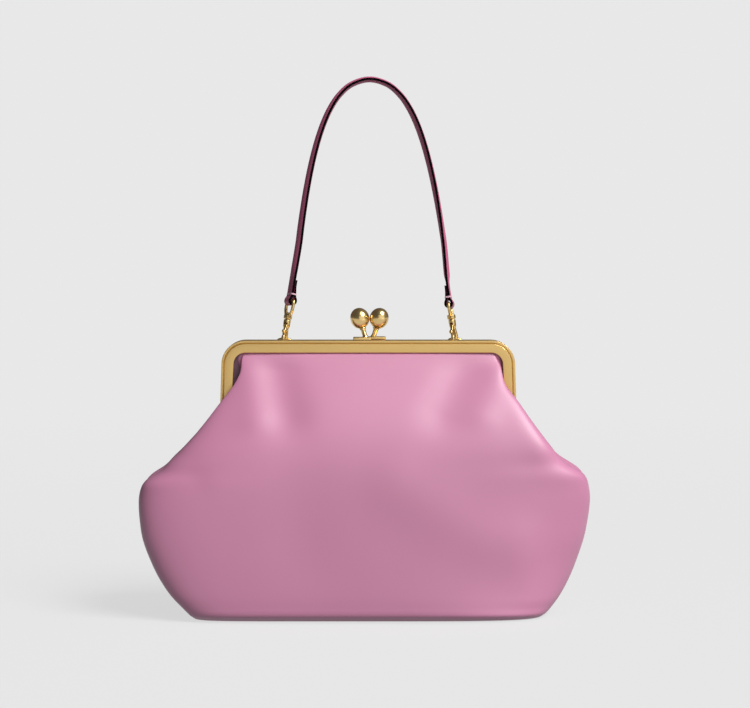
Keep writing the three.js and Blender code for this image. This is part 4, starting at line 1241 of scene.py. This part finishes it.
# %% Stage
EVEN_TONE, FLOOR_WHITE = rgb(0.807, 0.807, 0.807), rgb(0.72, 0.72, 0.72)
EVEN_SHARE, FADE_FROM, FADE_TO = 0.8, 0.5, 1.6
STAGE_RADIUS, STAGE_RINGS, STAGE_SIDES = 9, 24, 64
DOME_BELOW, FLOOR_DROP, FLOOR_HOLE = 0.1, 0.25 * MM, 0.001


def stage_sheet(name, height):
    """A disc of the floor, or with a height the dome above it, in metres, as rings round the middle."""
    lift = np.linspace(-DOME_BELOW, math.pi / 2, STAGE_RINGS)[:, None]
    reach = np.cos(lift) if height else np.linspace(1, FLOOR_HOLE, STAGE_RINGS)[:, None] ** 2
    x, y = circle(STAGE_SIDES).T * STAGE_RADIUS
    points = np.stack(np.broadcast_arrays(reach * x, reach * y, height * np.sin(lift)), -1)
    mesh = bpy.data.meshes.new(name)
    mesh.from_pydata(points.reshape(-1, 3).tolist(), [], grid_quads(STAGE_RINGS, STAGE_SIDES).tolist())
    made = linked(name, mesh)
    return made


def stage_tone(name, fading):
    """The backdrop's even tone, or white paper that fades with distance into that tone."""
    material, maker = new_finish(name)
    surface = maker.node("Emission", (), {"Color": EVEN_TONE})
    if fading:
        away = maker.node("VectorMath", {"operation": "LENGTH"}, {0: maker.place()}, "Value")
        limits = {"From Min": FADE_FROM, "From Max": FADE_TO, "To Min": EVEN_SHARE, "To Max": 1.0}
        share = maker.node("MapRange", (), {"Value": away, **limits})
        lit = maker.node("BsdfDiffuse", (), {"Color": FLOOR_WHITE})
        surface = maker.node("MixShader", (), {0: share, 1: lit, 2: surface})
    maker.node("OutputMaterial", (), {"Surface": surface})
    return material


floor = stage_sheet("floor", 0)
floor.location.z = -FLOOR_DROP
floor.data.materials.append(stage_tone("floor_paper", True))
floor.visible_diffuse = False
sky = stage_sheet("backdrop", STAGE_RADIUS)
sky.data.materials.append(stage_tone("backdrop_tone", False))
for ray in ("diffuse", "glossy", "transmission", "volume_scatter", "shadow"):
    setattr(sky, f"visible_{ray}", False)
print("stage:", floor.name, "and", sky.name, "with a radius of", STAGE_RADIUS, "m")

# %% Lights
KEY_AZIMUTH, KEY_ELEVATION = math.radians(50), math.radians(47)
KEY_STRENGTH, KEY_ANGLE, KEY_DISTANCE = 3.5, math.radians(32), 3
# Each soft light's place in metres, its size and its power.
SOFT_LIGHTS = {
    "fill": (Vector((0.4, -2.2, 0.7)), 1.4, 5.0),
    "side": (Vector((0.85, -0.85, 0.2)), 0.8, 1.9),
}


def new_light(name, kind, place, aim, **settings):
    """A light with its settings, aimed from a place."""
    light = bpy.data.lights.new(name, kind)
    for setting, value in settings.items():
        setattr(light, setting, value)
    linked(name, light, place, aim)


flat = math.cos(KEY_ELEVATION)
to_key = Vector((flat * math.sin(KEY_AZIMUTH), -flat * math.cos(KEY_AZIMUTH), math.sin(KEY_ELEVATION)))
new_light("key", "SUN", to_key * KEY_DISTANCE, -to_key, energy=KEY_STRENGTH, angle=KEY_ANGLE)
for name, (place, size, power) in SOFT_LIGHTS.items():
    new_light(name, "AREA", place, CAMERA_TARGET - place, energy=power, size=size)
print("key from", [round(v, 2) for v in to_key])

# %% Surroundings
WORLD_DARK, WORLD_LIGHT = rgb(0.115, 0.115, 0.117), rgb(0.25, 0.25, 0.255)
# The directions over which the surroundings go from dark to light, to the right and up.
LIGHTER_RIGHT, LIGHTER_UP = (-0.5, 0.9), (-0.1, 0.3)
world = bpy.data.worlds.new("studio")
world.use_nodes = True
bpy.context.scene.world = world
around = NodeMaker(world.node_tree)
direction = around.place("Generated")


def rising(axis, low, high):
    """How far a direction lies from low to high on one axis."""
    value = around.node("SeparateXYZ", (), {"Vector": direction}, axis)
    limits = {"Value": value, "From Min": low, "From Max": high}
    return around.node("MapRange", {"interpolation_type": "SMOOTHSTEP"}, limits)


tone = around.mix(rising("X", *LIGHTER_RIGHT) * rising("Z", *LIGHTER_UP), WORLD_DARK, WORLD_LIGHT)
around.node("OutputWorld", (), {"Surface": around.node("Background", (), {"Color": tone})})
bpy.context.scene.view_settings.view_transform = "Standard"
print("surroundings from", WORLD_DARK[:3], "to", WORLD_LIGHT[:3])
